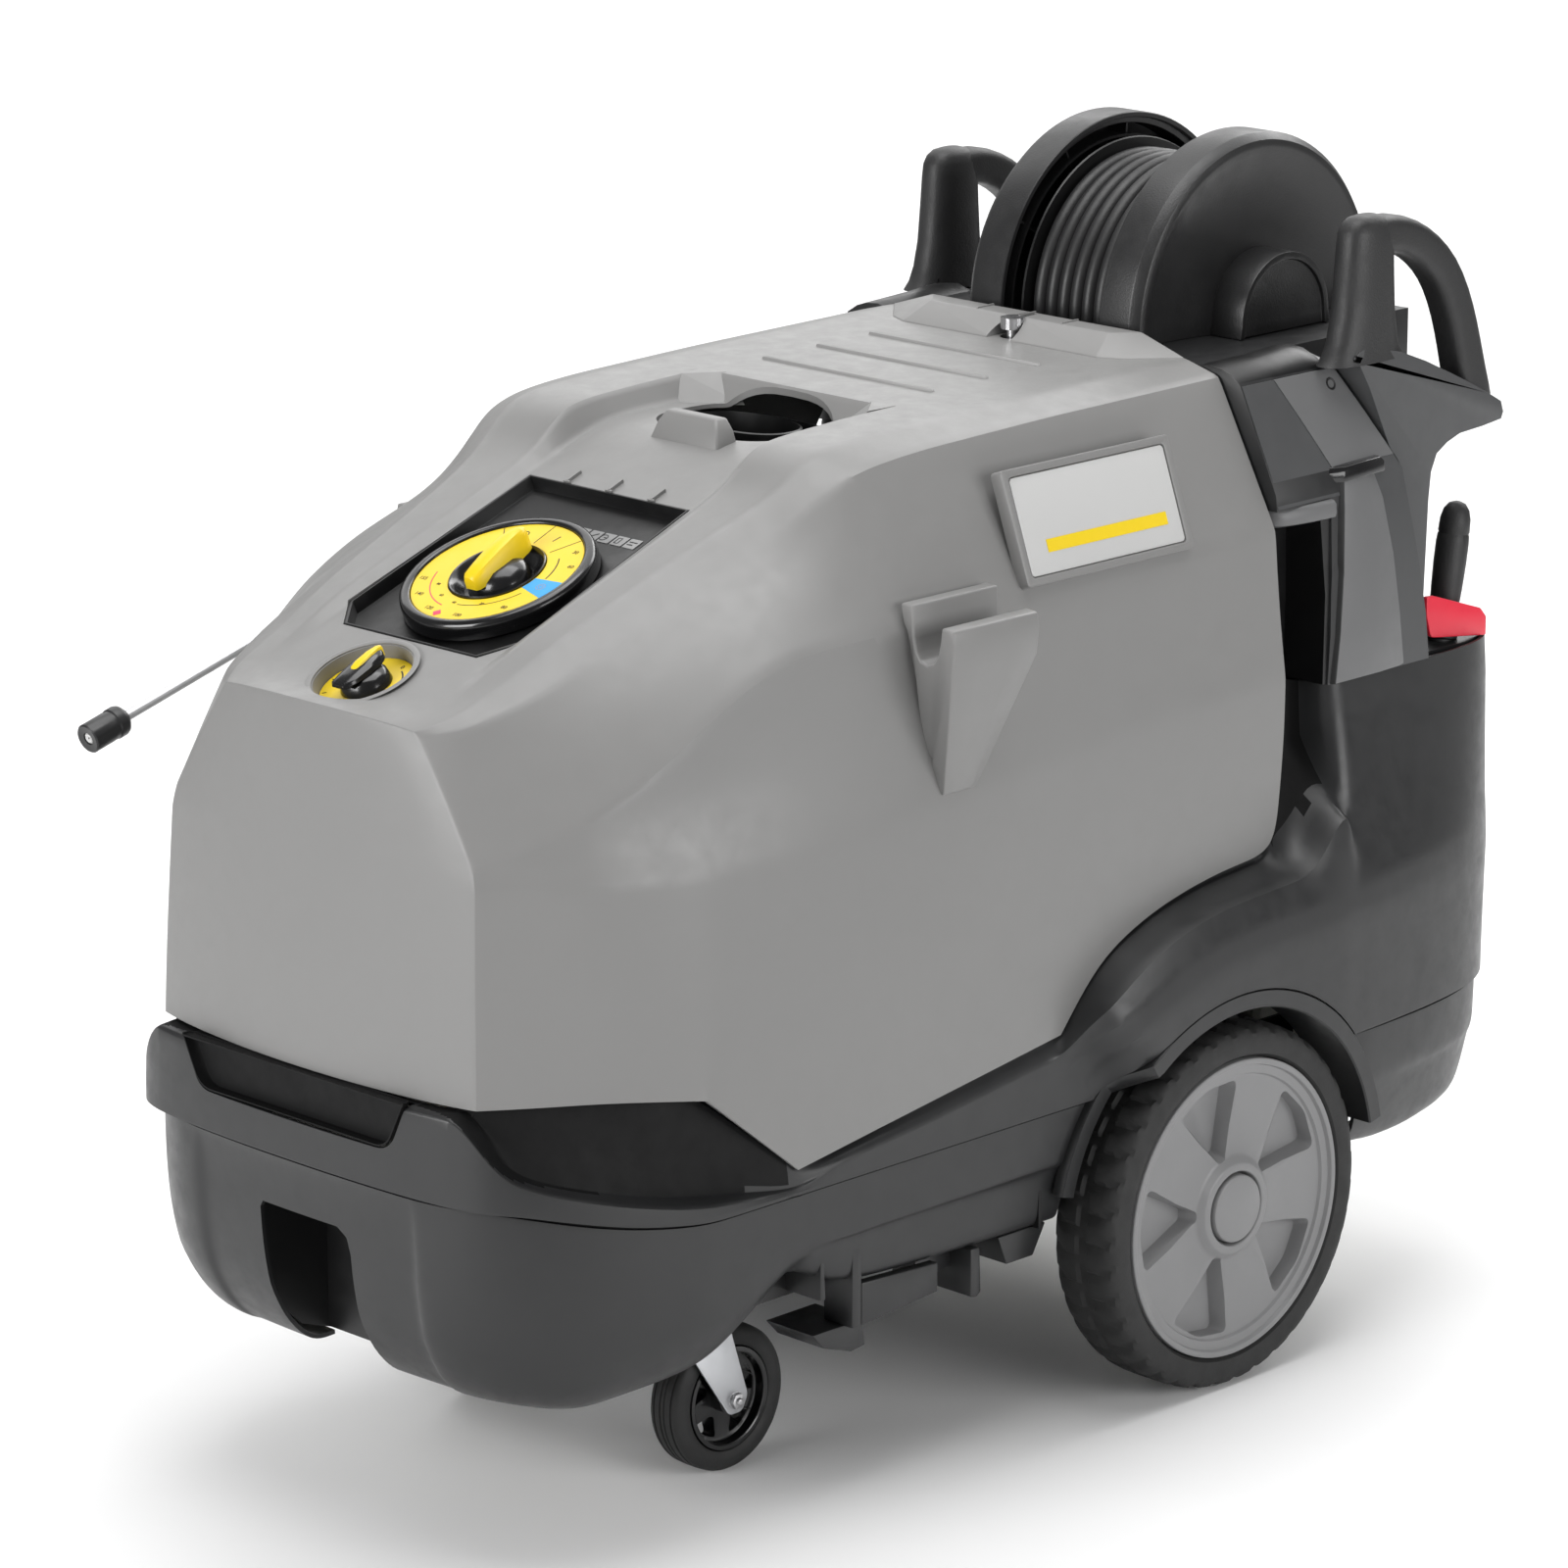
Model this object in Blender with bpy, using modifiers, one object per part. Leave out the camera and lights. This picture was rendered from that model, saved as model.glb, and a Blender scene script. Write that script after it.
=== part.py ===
"""Hot-water pressure washer on two wheels and two casters, with a hose reel on its back.

Axes: +Z up, the floor at Z = 0, front (control panel) towards -Y, rear (handles, reel) towards +Y.
Left and right are those of the operator standing behind it and facing -Y, so left is +X.
"""
import math

import bmesh
import bpy
from mathutils import Matrix, Vector

GAP = 0.0003
WALL = 0.004

# Rear wheels
AXLE_Y = 0.205
AXLE_Z = 0.178
TYRE_R = 0.178
TYRE_IN_X = 0.274
TYRE_OUT_X = 0.352
RIM_R = 0.146
AXLE_R = 0.012
ARCH_R = 0.197
WHEEL_STEPS = 36
CASTER_STEPS = 24
WELL_X = 0.262

# Casters
CASTER_X = 0.150
CASTER_PIVOT_Y = -0.330
CASTER_TRAIL = 0.042
CASTER_R = 0.070
CASTER_W = 0.040
CASTER_TOP_Z = 0.172

# Hose reel
REEL_Y = 0.490
REEL_Z = 0.965
COVER_R = 0.177
COVER_IN_X = 0.064
COVER_OUT_X = 0.112
HOSE_R = 0.145
DRUM_R = 0.070
FLANGE_R = 0.155
SHAFT_R = 0.012
TOP_Z = 0.953
REEL_WELL_X = 0.155

# Mouldings
REAR_Y = 0.2975
SHELF_Z = 0.652
SEAM_Z = 0.312
LEDGE_Z = 0.4255
LEDGE_Y = -0.452
LEDGE_W = 0.045
FLOOR_Z = 0.200
HANDLE_X = 0.270
HANDLE_T = 0.036

# Control panel, on the sloping front of the hood
SLOPE = math.atan2(0.136, 0.350)
PANEL_Y = -0.396
PANEL_Z = 0.8465
PANEL_DEPTH = 0.020
DIAL_R = 0.092
DIAL_SHIFT = -0.016
SMALL_Y = -0.573
SMALL_Z = 0.778
SMALL_R = 0.047

# Lance, parked in the right-hand bracket with its nozzle forwards
LANCE_X = -0.335
LANCE_Y = -0.615
LANCE_Z = 0.662
LANCE_RISE = math.atan(0.284)
LANCE_LEN = 0.800
LANCE_R = 0.005

# Trigger gun, parked in the left rear corner with its grip up
GUN_X = 0.268
GUN_Y = 0.590

PARTS = "pressure_washer"
CUTTERS = "cutters"


def clear_scene():
    for obj in list(bpy.data.objects):
        bpy.data.objects.remove(obj)
    for name in (PARTS, CUTTERS):
        collection = bpy.data.collections.new(name)
        bpy.context.scene.collection.children.link(collection)


def material(name, colour, roughness, metallic=0.0):
    mat = bpy.data.materials.new(name)
    mat.use_nodes = True
    shader = mat.node_tree.nodes["Principled BSDF"]
    shader.inputs["Base Color"].default_value = (*colour, 1.0)
    shader.inputs["Roughness"].default_value = roughness
    shader.inputs["Metallic"].default_value = metallic
    mat.diffuse_color = (*colour, 1.0)
    return mat


def part(name, mesh, look, at=(0.0, 0.0, 0.0)):
    """Put a mesh drawn in world axes into the scene, with its origin moved to a point."""
    mesh.transform(Matrix.Translation(-Vector(at)))
    mesh.name = name
    obj = bpy.data.objects.new(name, mesh)
    obj.location = at
    bpy.data.collections[PARTS].objects.link(obj)
    mesh.materials.clear()
    mesh.materials.append(look)
    return obj


def cutter(name, mesh):
    obj = bpy.data.objects.new(name, mesh)
    obj.hide_render = True
    obj.display_type = "WIRE"
    bpy.data.collections[CUTTERS].objects.link(obj)
    return obj


def boolean(obj, mesh, operation="DIFFERENCE"):
    """Add a live Boolean, with its cutter drawn in world axes."""
    tool = cutter(obj.name + "_" + operation.lower() + str(len(obj.modifiers)), mesh)
    step = obj.modifiers.new(tool.name, "BOOLEAN")
    step.operation = operation
    step.solver = "EXACT"
    step.object = tool
    return step


def bevel(obj, width, segments=2, angle=35.0):
    step = obj.modifiers.new("bevel", "BEVEL")
    step.width = width
    step.segments = segments
    step.limit_method = "ANGLE"
    step.angle_limit = math.radians(angle)
    step.harden_normals = False
    return step


def as_mesh(bm, name="mesh"):
    bmesh.ops.recalc_face_normals(bm, faces=bm.faces)
    mesh = bpy.data.meshes.new(name)
    bm.to_mesh(mesh)
    bm.free()
    return mesh


def box(low, high):
    low = Vector(low)
    high = Vector(high)
    bm = bmesh.new()
    bmesh.ops.create_cube(bm, size=1.0)
    bmesh.ops.scale(bm, vec=high - low, verts=bm.verts)
    bmesh.ops.translate(bm, vec=(low + high) / 2, verts=bm.verts)
    return as_mesh(bm)


def turn_to(axis):
    """Rotation that takes +Z to an axis."""
    return Vector((0, 0, 1)).rotation_difference(Vector(axis).normalized()).to_matrix().to_4x4()


def cylinder(start, end, radius, sides=24, end_radius=None):
    """A cylinder or a cone between two points, with a flat facet square to the axis plane."""
    start = Vector(start)
    end = Vector(end)
    last = radius if end_radius is None else end_radius
    bm = bmesh.new()
    length = (end - start).length
    bmesh.ops.create_cone(bm, cap_ends=True, segments=sides, radius1=radius, radius2=last, depth=length)
    place = Matrix.Translation((start + end) / 2) @ turn_to(end - start)
    bmesh.ops.transform(bm, matrix=place @ Matrix.Rotation(math.pi / sides, 4, "Z"), verts=bm.verts)
    return as_mesh(bm)


def evaluated(obj):
    bpy.context.view_layer.update()
    graph = bpy.context.evaluated_depsgraph_get()
    mesh = bpy.data.meshes.new_from_object(obj.evaluated_get(graph))
    mesh.transform(obj.matrix_world)
    bm = bmesh.new()
    bm.from_mesh(mesh)
    bmesh.ops.remove_doubles(bm, verts=bm.verts, dist=0.00001)
    return as_mesh(bm)


def mirror_image(mesh):
    """The same solid on the other side of the centre plane."""
    mesh.transform(Matrix.Scale(-1, 4, (1, 0, 0)))
    mesh.flip_normals()
    return mesh


def from_curve(curve, place=Matrix()):
    obj = bpy.data.objects.new(curve.name, curve)
    bpy.context.scene.collection.objects.link(obj)
    obj.matrix_world = place
    mesh = evaluated(obj)
    bpy.data.objects.remove(obj)
    return mesh


def intersection(first, second):
    """The solid that two meshes share."""
    obj = bpy.data.objects.new("shared", first)
    bpy.context.scene.collection.objects.link(obj)
    boolean(obj, second, "INTERSECT")
    mesh = evaluated(obj)
    bpy.data.objects.remove(obj)
    return mesh


PLANES = {
    "XY": Matrix(),
    "YZ": Matrix(((0, 0, 1, 0), (1, 0, 0, 0), (0, 1, 0, 0), (0, 0, 0, 1))),
    "XZ": Matrix(((1, 0, 0, 0), (0, 0, -1, 0), (0, 1, 0, 0), (0, 0, 0, 1))),
}


def plate(plane, outline, low, high, holes=()):
    """A flat outline in one of the main planes, thickened from low to high across it."""
    curve = bpy.data.curves.new("outline", "CURVE")
    curve.dimensions = "2D"
    curve.fill_mode = "BOTH"
    curve.extrude = (high - low) / 2
    for loop in (outline, *holes):
        spline = curve.splines.new("POLY")
        spline.points.add(len(loop) - 1)
        for point, (a, b) in zip(spline.points, loop):
            point.co = (a, b, 0.0, 1.0)
        spline.use_cyclic_u = True
    sign = -1 if plane == "XZ" else 1
    shift = Matrix.Translation((0, 0, sign * (low + high) / 2))
    return from_curve(curve, PLANES[plane] @ shift)


def turned(profile, place, steps=36):
    """A closed profile of (radius, height) points turned about the local Z axis."""
    mesh = bpy.data.meshes.new("profile")
    points = [(r, 0.0, h) for r, h in profile]
    edges = [(i, (i + 1) % len(points)) for i in range(len(points))]
    mesh.from_pydata(points, edges, [])
    obj = bpy.data.objects.new("turned", mesh)
    bpy.context.scene.collection.objects.link(obj)
    screw = obj.modifiers.new("screw", "SCREW")
    screw.steps = steps
    screw.render_steps = steps
    screw.use_merge_vertices = True
    screw.merge_threshold = 0.00001
    obj.matrix_world = place @ Matrix.Rotation(math.pi / steps, 4, "Z")
    result = evaluated(obj)
    bpy.data.objects.remove(obj)
    return result


def along_x(x, y, z, side=1):
    """Local Z points outwards along X."""
    return Matrix.Translation((x, y, z)) @ turn_to((side, 0, 0))


def arc(y, z, radius, start, stop, count):
    """Points on a circle, angles in degrees."""
    out = []
    for k in range(count + 1):
        angle = math.radians(start + (stop - start) * k / count)
        out.append((y + radius * math.cos(angle), z + radius * math.sin(angle)))
    return out


def both_sides(half):
    """A plan outline given for X >= 0, closed by its mirror image."""
    mirrored = [(-x, y) for x, y in reversed(half) if x > 1e-6]
    return half + mirrored


def inset(outline, wall):
    """Shrink a roughly rectangular outline by a wall thickness on each side."""
    xs = [x for x, _ in outline]
    ys = [y for _, y in outline]
    mid = (min(ys) + max(ys)) / 2
    kx = 1 - wall / max(xs)
    ky = 1 - wall / (max(ys) - mid)
    return [(x * kx, mid + (y - mid) * ky) for x, y in outline]


# Outlines shared by the mouldings
SHELL_PLAN = both_sides([
    (0.0, -0.668), (0.170, -0.660), (0.225, -0.646), (0.268, -0.600), (0.300, -0.530), (0.314, -0.455),
    (0.314, 0.300), (0.308, 0.590), (0.290, 0.640), (0.240, 0.660), (0.0, 0.668),
])
TRAY_PLAN = both_sides([
    (0.0, -0.660), (0.120, -0.655), (0.215, -0.632), (0.262, -0.590), (0.292, -0.525), (0.306, -0.450),
    (0.306, 0.580), (0.288, 0.632), (0.238, 0.655), (0.0, 0.665),
])
SEAM = [(-0.700, 0.352), (-0.620, 0.345), (-0.540, 0.326), (-0.460, 0.314), (0.720, SEAM_Z)]
HOOD_EDGE = [
    (-0.700, 0.436), (-0.457, 0.428), (-0.344, 0.338), (-0.240, 0.353), (-0.120, 0.370), (-0.001, 0.387),
    (0.035, 0.430), (0.070, 0.458), (0.133, 0.483), (0.205, 0.497), (0.295, 0.505),
]


def build_looks():
    return {
        "hood": material("hood_grey_plastic", (0.215, 0.212, 0.207), 0.45),
        "shell": material("dark_grey_plastic", (0.045, 0.046, 0.048), 0.5),
        "black": material("black_plastic", (0.012, 0.012, 0.013), 0.45),
        "rubber": material("black_rubber", (0.015, 0.015, 0.015), 0.8),
        "rim": material("light_grey_plastic", (0.30, 0.30, 0.30), 0.4),
        "yellow": material("yellow_plastic", (0.95, 0.68, 0.01), 0.4),
        "red": material("red_plastic", (0.75, 0.02, 0.05), 0.4),
        "white": material("white_plate", (0.80, 0.80, 0.80), 0.35),
        "steel": material("steel", (0.55, 0.55, 0.56), 0.3, 1.0),
        "zinc": material("zinc_plated_steel", (0.62, 0.63, 0.65), 0.35, 1.0),
        "cast": material("cast_aluminium", (0.45, 0.45, 0.46), 0.5, 1.0),
        "painted": material("painted_steel", (0.10, 0.10, 0.11), 0.5),
        "tank": material("tank_plastic", (0.60, 0.60, 0.56), 0.5),
        "brass": material("brass", (0.60, 0.43, 0.18), 0.3, 1.0),
    }


# Flared blocks over and behind the rear wheels: outline on the side wall, then on their outer face
FENDER_ROOT = [
    (0.3110, 0.050, 0.3136), (0.3110, -0.002, 0.371), (0.3110, 0.050, 0.430), (0.3110, 0.091, 0.452),
    (0.3110, 0.133, 0.469), (0.3110, 0.184, 0.480), (0.3110, 0.235, 0.484), (0.3110, 0.2975, 0.488),
    (0.3085, 0.446, 0.540), (0.3040, 0.590, 0.550), (0.2880, 0.632, 0.500), (0.2850, 0.640, 0.3136),
]
FENDER_FACE = [
    (0.095, 0.3136), (0.044, 0.381), (0.066, 0.426), (0.098, 0.444), (0.138, 0.459), (0.186, 0.468),
    (0.235, 0.472), (0.300, 0.476), (0.446, 0.484), (0.545, 0.490), (0.570, 0.470), (0.575, 0.3136),
]
BUMPER_ROOT = [
    (0.3030, 0.392, 0.3100), (0.3030, 0.392, 0.205), (0.3030, 0.420, 0.182), (0.3000, 0.580, 0.186),
    (0.2850, 0.622, 0.225), (0.2810, 0.628, 0.3100),
]
BUMPER_FACE = [
    (0.396, 0.3100), (0.396, 0.228), (0.430, 0.206), (0.545, 0.212), (0.568, 0.238), (0.575, 0.3100),
]
FACE_X = 0.350
HOLLOW_SCALE = 0.93
HOLLOW_REACH = 0.008


def flared_block(side, root, face, hollow=False):
    """Block that swells out of a side wall, or with hollow set the space inside it."""
    middle_y = sum(y for y, _ in face) / len(face)
    middle_z = sum(z for _, z in face) / len(face)
    scale = HOLLOW_SCALE if hollow else 1.0
    root_shift = HOLLOW_REACH if hollow else 0.0
    face_x = FACE_X - WALL if hollow else FACE_X

    def at(x, y, z):
        return (side * x, middle_y + (y - middle_y) * scale, middle_z + (z - middle_z) * scale)

    bm = bmesh.new()
    inner = [bm.verts.new(at(x - root_shift, y, z)) for x, y, z in root]
    outer = [bm.verts.new(at(face_x, y, z)) for y, z in face]
    bm.faces.new(inner)
    bm.faces.new(outer)
    count = len(inner)
    for i in range(count):
        j = (i + 1) % count
        bm.faces.new((inner[i], inner[j], outer[j], outer[i]))
    return as_mesh(bm)


def build_tray(look):
    """Lower base moulding: front bumper, floor, wheel wells and rear bumper."""
    top = [(y, z - 0.0015) for y, z in SEAM]
    under = [
        (0.720, 0.250), (0.655, 0.205), (0.600, 0.165), (0.440, 0.160), (0.400, 0.194), (0.010, 0.194),
        (-0.200, 0.190), (-0.260, CASTER_TOP_Z), (-0.370, CASTER_TOP_Z), (-0.395, 0.150), (-0.430, 0.125),
        (-0.545, 0.125), (-0.590, 0.165), (-0.635, 0.240), (-0.700, 0.330),
    ]
    tray = part("chassis_tray", plate("XY", TRAY_PLAN, 0.10, 0.40), look["shell"])
    boolean(tray, plate("YZ", top + under, -0.5, 0.5), "INTERSECT")
    inner = inset(TRAY_PLAN, 0.006)
    boolean(tray, plate("XY", front_part(inner, -0.005), FLOOR_Z, 0.5))
    boolean(tray, box((-0.250, -0.010, FLOOR_Z), (0.250, 0.640, 0.5)))
    boolean(tray, box((-0.270, -0.615, 0.05), (0.270, -0.368, CASTER_TOP_Z + 0.001)))
    for side in (-1, 1):
        boolean(tray, flared_block(side, BUMPER_ROOT, BUMPER_FACE), "UNION")
        boolean(tray, flared_block(side, BUMPER_ROOT, BUMPER_FACE, hollow=True))
        start = (side * WELL_X, AXLE_Y, AXLE_Z)
        boolean(tray, cylinder(start, (side * 0.40, AXLE_Y, AXLE_Z), ARCH_R, 40))
    boolean(tray, box((-0.060, -0.70, 0.10), (0.060, -0.600, 0.300)))
    return tray


def front_part(outline, limit):
    """The part of a plan outline in front of a limit, squared off there."""
    right = [(x, y) for x, y in outline if x >= 0 and y < limit]
    edge = max(x for x, _ in right)
    right.append((edge, limit))
    return right + [(-x, y) for x, y in reversed(right) if x > 1e-6]


def build_body_shell(look):
    """Upper base moulding: rim under the hood, wheel arches and the closed rear shell."""
    upper = [(y, z - 0.0025) for y, z in HOOD_EDGE[:-1]]
    upper += [(REAR_Y, HOOD_EDGE[-1][1] - 0.0025), (REAR_Y, SHELF_Z), (0.625, SHELF_Z), (0.645, 0.580),
              (0.700, 0.300)]
    lower = [(y, z) for y, z in reversed(SEAM) if y < 0.7]
    shell = part("body_shell", plate("XY", SHELL_PLAN, 0.29, 0.70), look["shell"])
    boolean(shell, plate("YZ", upper + [(0.700, SEAM_Z)] + lower, -0.5, 0.5), "INTERSECT")
    inner = inset(SHELL_PLAN, WALL)
    boolean(shell, plate("XY", front_part(inner, REAR_Y - 0.001), 0.25, LEDGE_Z - WALL))
    boolean(shell, box((-0.3095, LEDGE_Y, 0.40), (0.3095, REAR_Y - 0.0015, 0.75)))
    ledge_hole = inset(SHELL_PLAN, LEDGE_W)
    boolean(shell, plate("XY", front_part(ledge_hole, LEDGE_Y + 0.010), 0.40, 0.50))
    rear = [(0.290, 0.25), (0.290, SHELF_Z - WALL), (0.619, SHELF_Z - WALL), (0.639, 0.576), (0.690, 0.25)]
    cavity = intersection(plate("XY", inset(SHELL_PLAN, WALL + 0.001), 0.20, 0.80),
                          plate("YZ", rear, -0.5, 0.5))
    boolean(shell, cavity)
    for side in (-1, 1):
        boolean(shell, flared_block(side, FENDER_ROOT, FENDER_FACE), "UNION")
        boolean(shell, flared_block(side, FENDER_ROOT, FENDER_FACE, hollow=True))
        start = (side * 0.20, AXLE_Y, AXLE_Z)
        boolean(shell, cylinder(start, (side * 0.40, AXLE_Y, AXLE_Z), ARCH_R, 40))
    boolean(shell, box((GUN_X - 0.0165, GUN_Y - 0.0165, 0.567), (GUN_X + 0.0165, 0.720, 0.680)))
    boolean(shell, box((-0.190, 0.330, 0.63), (0.190, 0.540, 0.70)))
    return shell


def build_rear_body(look):
    """Upper rear moulding with the well for the hose reel and a holder groove on each side."""
    section = both_sides([(0.225, TOP_Z), (0.262, 0.935), (0.303, 0.845), (0.314, 0.700),
                          (0.313, SHELF_Z + GAP)])
    body = part("rear_body", plate("XZ", section, REAR_Y, 0.700), look["shell"])
    tub = [(0.20, 0.60), (0.20, 1.0), (0.668, 1.0), (0.668, 0.900), (0.640, 0.760), (0.600, 0.60)]
    boolean(body, plate("YZ", tub, -0.50, 0.50), "INTERSECT")
    for side in (-1, 1):
        low, high = sorted((side * 0.205, side * 0.50))
        outside = [(0.396, 1.1), (0.398, 0.985), (0.525, 0.800), (0.535, 0.55), (0.80, 0.55), (0.80, 1.1)]
        boolean(body, plate("YZ", outside, low, high))
        low, high = sorted((side * 0.258, side * 0.40))
        boolean(body, box((low, 0.345, 0.50), (high, 0.430, 0.818)))
        low, high = sorted((side * REEL_WELL_X, side * 0.50))
        boolean(body, box((low, 0.585, SHELF_Z + 0.004), (high, 0.800, 1.100)))
    inner = both_sides([(REEL_WELL_X - WALL, TOP_Z - WALL), (REEL_WELL_X - WALL, 0.55)])
    boolean(body, plate("XZ", inner, REAR_Y + WALL, 0.594))
    boolean(body, cylinder((-0.0636, REEL_Y, REEL_Z), (0.0636, REEL_Y, REEL_Z), 0.162, 40))
    return body


def hood_stations():
    """Half sections of the hood from its front lower edge, up its face and back along the deck.

    Each runs from the centre plane outwards and down to the lower edge.
    """
    edge = HOOD_EDGE
    rows = [
        [(0, -.659, .436), (.12, -.655, .436), (.200, -.640, .436), (.210, -.631, .436), (.219, -.620, .436),
         (.228, -.608, .436), (.237, -.594, .436), (.246, -.580, .436)],
        [(0, -.655, .54), (.12, -.651, .54), (.199, -.634, .54), (.212, -.624, .538), (.228, -.604, .53),
         (.244, -.580, .515), (.259, -.553, .49), (.272, -.530, .434)],
        [(0, -.648, .649), (.12, -.643, .649), (.193, -.625, .649), (.212, -.610, .643), (.238, -.580, .62),
         (.262, -.545, .58), (.282, -.512, .52), (.295, -.489, .431)],
        [(0, -.640, .765), (.08, -.634, .762), (.127, -.623, .756), (.165, -.605, .738), (.215, -.570, .69),
         (.262, -.520, .62), (.294, -.475, .53), (.311, edge[1][0], edge[1][1])],
        [(0, -.520, .797), (.10, -.520, .797), (.150, -.520, .793), (.198, -.512, .775), (.250, -.490, .72),
         (.290, -.450, .63), (.308, -.420, .52), (.312, -.400, .383)],
        [(0, -.400, .845), (.115, -.400, .844), (.168, -.400, .840), (.220, -.398, .822), (.276, -.390, .76),
         (.308, -.378, .65), (.313, -.365, .51), (.312, edge[2][0], edge[2][1])],
        [(0, -.272, .892), (.125, -.272, .891), (.190, -.272, .886), (.240, -.272, .866), (.297, -.270, .79),
         (.319, -.265, .66), (.317, -.255, .51), (.312, edge[3][0], edge[3][1])],
        [(0, -.190, .935), (.14, -.190, .934), (.215, -.190, .926), (.260, -.188, .902), (.306, -.182, .805),
         (.322, -.170, .665), (.318, -.150, .51), (.312, edge[4][0], edge[4][1])],
        [(0, -.150, .947), (.15, -.150, .947), (.225, -.150, .941), (.266, -.148, .917), (.307, -.140, .808),
         (.322, -.120, .668), (.318, -.090, .52), (.312, -.060, .3785)],
        [(0, .000, .949), (.15, .000, .949), (.228, .000, .943), (.268, .000, .920), (.308, .000, .810),
         (.322, .000, .670), (.318, .000, .530), (.312, edge[5][0], edge[5][1])],
        [(0, .040, .950), (.15, .040, .950), (.229, .040, .944), (.269, .040, .921), (.308, .039, .811),
         (.322, .037, .675), (.318, .036, .545), (.312, edge[6][0], edge[6][1])],
        [(0, .080, .950), (.15, .080, .950), (.229, .080, .944), (.269, .080, .921), (.308, .078, .812),
         (.322, .070, .680), (.318, .055, .560), (.312, edge[7][0], edge[7][1])],
        [(0, .140, .951), (.15, .140, .951), (.229, .140, .945), (.269, .140, .922), (.308, .138, .812),
         (.322, .136, .685), (.318, .134, .575), (.312, edge[8][0], edge[8][1])],
        [(0, .205, .952), (.15, .205, .952), (.229, .205, .946), (.269, .205, .922), (.308, .205, .812),
         (.322, .205, .690), (.318, .205, .590), (.312, edge[9][0], edge[9][1])],
        [(0, .232, .953), (.15, .232, .952), (.229, .232, .946), (.269, .232, .922), (.308, .232, .812),
         (.322, .232, .690), (.318, .232, .590), (.312, .232, .4995)],
        [(0, .250, .976), (.125, .250, .975), (.229, .250, .946), (.269, .250, .922), (.308, .250, .812),
         (.322, .250, .690), (.318, .250, .590), (.312, .250, .501)],
        [(0, .295, .980), (.120, .295, .979), (.228, .295, .948), (.268, .295, .923), (.307, .295, .812),
         (.321, .295, .690), (.317, .295, .590), (.311, edge[10][0], edge[10][1])],
    ]
    return rows


def slope_frame(y, z):
    """Local Z square to the sloping front, local Y up the slope."""
    return Matrix.Translation((0, y, z)) @ Matrix.Rotation(SLOPE, 4, "X")


def on_slope(mesh, y, z):
    mesh.transform(slope_frame(y, z))
    return mesh


def window_outline(wall=0.0):
    top = 0.106 - wall
    low = 0.113 - wall
    reach = 0.133 - wall
    return [(-top, reach), (top, reach), (low, -reach + 0.030), (low - 0.022, -reach),
            (-low + 0.022, -reach), (-low, -reach + 0.030)]


def bracket(side):
    """Lance rest fixed to the hood's side: a block with an open channel along its length."""
    section = [(.2990, .832), (.316, .832), (.320, .790), (.327, .773), (.343, .773), (.350, .790),
               (.352, .817), (.368, .813), (.368, .780), (.3290, .666), (.3238, .666), (.3085, .808)]
    outline = [(side * x, z) for x, z in section]
    return plate("XZ", outline, -0.205, -0.095)


def build_hood(look):
    rows = hood_stations()
    columns = len(rows[0])
    bm = bmesh.new()
    bmesh.ops.create_grid(bm, x_segments=columns - 1, y_segments=len(rows) - 1, size=1.0)
    bm.verts.ensure_lookup_table()
    for index, vert in enumerate(bm.verts):
        vert.co = rows[index // columns][index % columns]
    bmesh.ops.recalc_face_normals(bm, faces=bm.faces)
    bm.normal_update()
    if sum(face.normal.z for face in bm.faces) < 0:
        bmesh.ops.reverse_faces(bm, faces=bm.faces)
    mesh = bpy.data.meshes.new("hood")
    bm.to_mesh(mesh)
    bm.free()
    hood = part("hood", mesh, look["hood"])
    mirror = hood.modifiers.new("mirror", "MIRROR")
    mirror.merge_threshold = 0.0001
    solid = hood.modifiers.new("wall", "SOLIDIFY")
    solid.thickness = WALL
    solid.offset = -1.0
    solid.use_even_offset = True
    boolean(hood, on_slope(plate("XY", window_outline(), -0.03, 0.03), PANEL_Y, PANEL_Z))
    boolean(hood, on_slope(cylinder((0, 0, -0.03), (0, 0, 0.03), SMALL_R, 32), SMALL_Y, SMALL_Z))
    boolean(hood, cylinder((0, -0.100, 0.90), (0, -0.100, 1.0), 0.075, 32))
    boolean(hood, cylinder((0, 0.262, 0.90), (0, 0.262, 1.0), 0.0125, 20))
    for side, name in ((1, "lance_rest_left"), (-1, "lance_rest_right")):
        part(name, bracket(side), look["hood"])
    return hood


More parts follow.
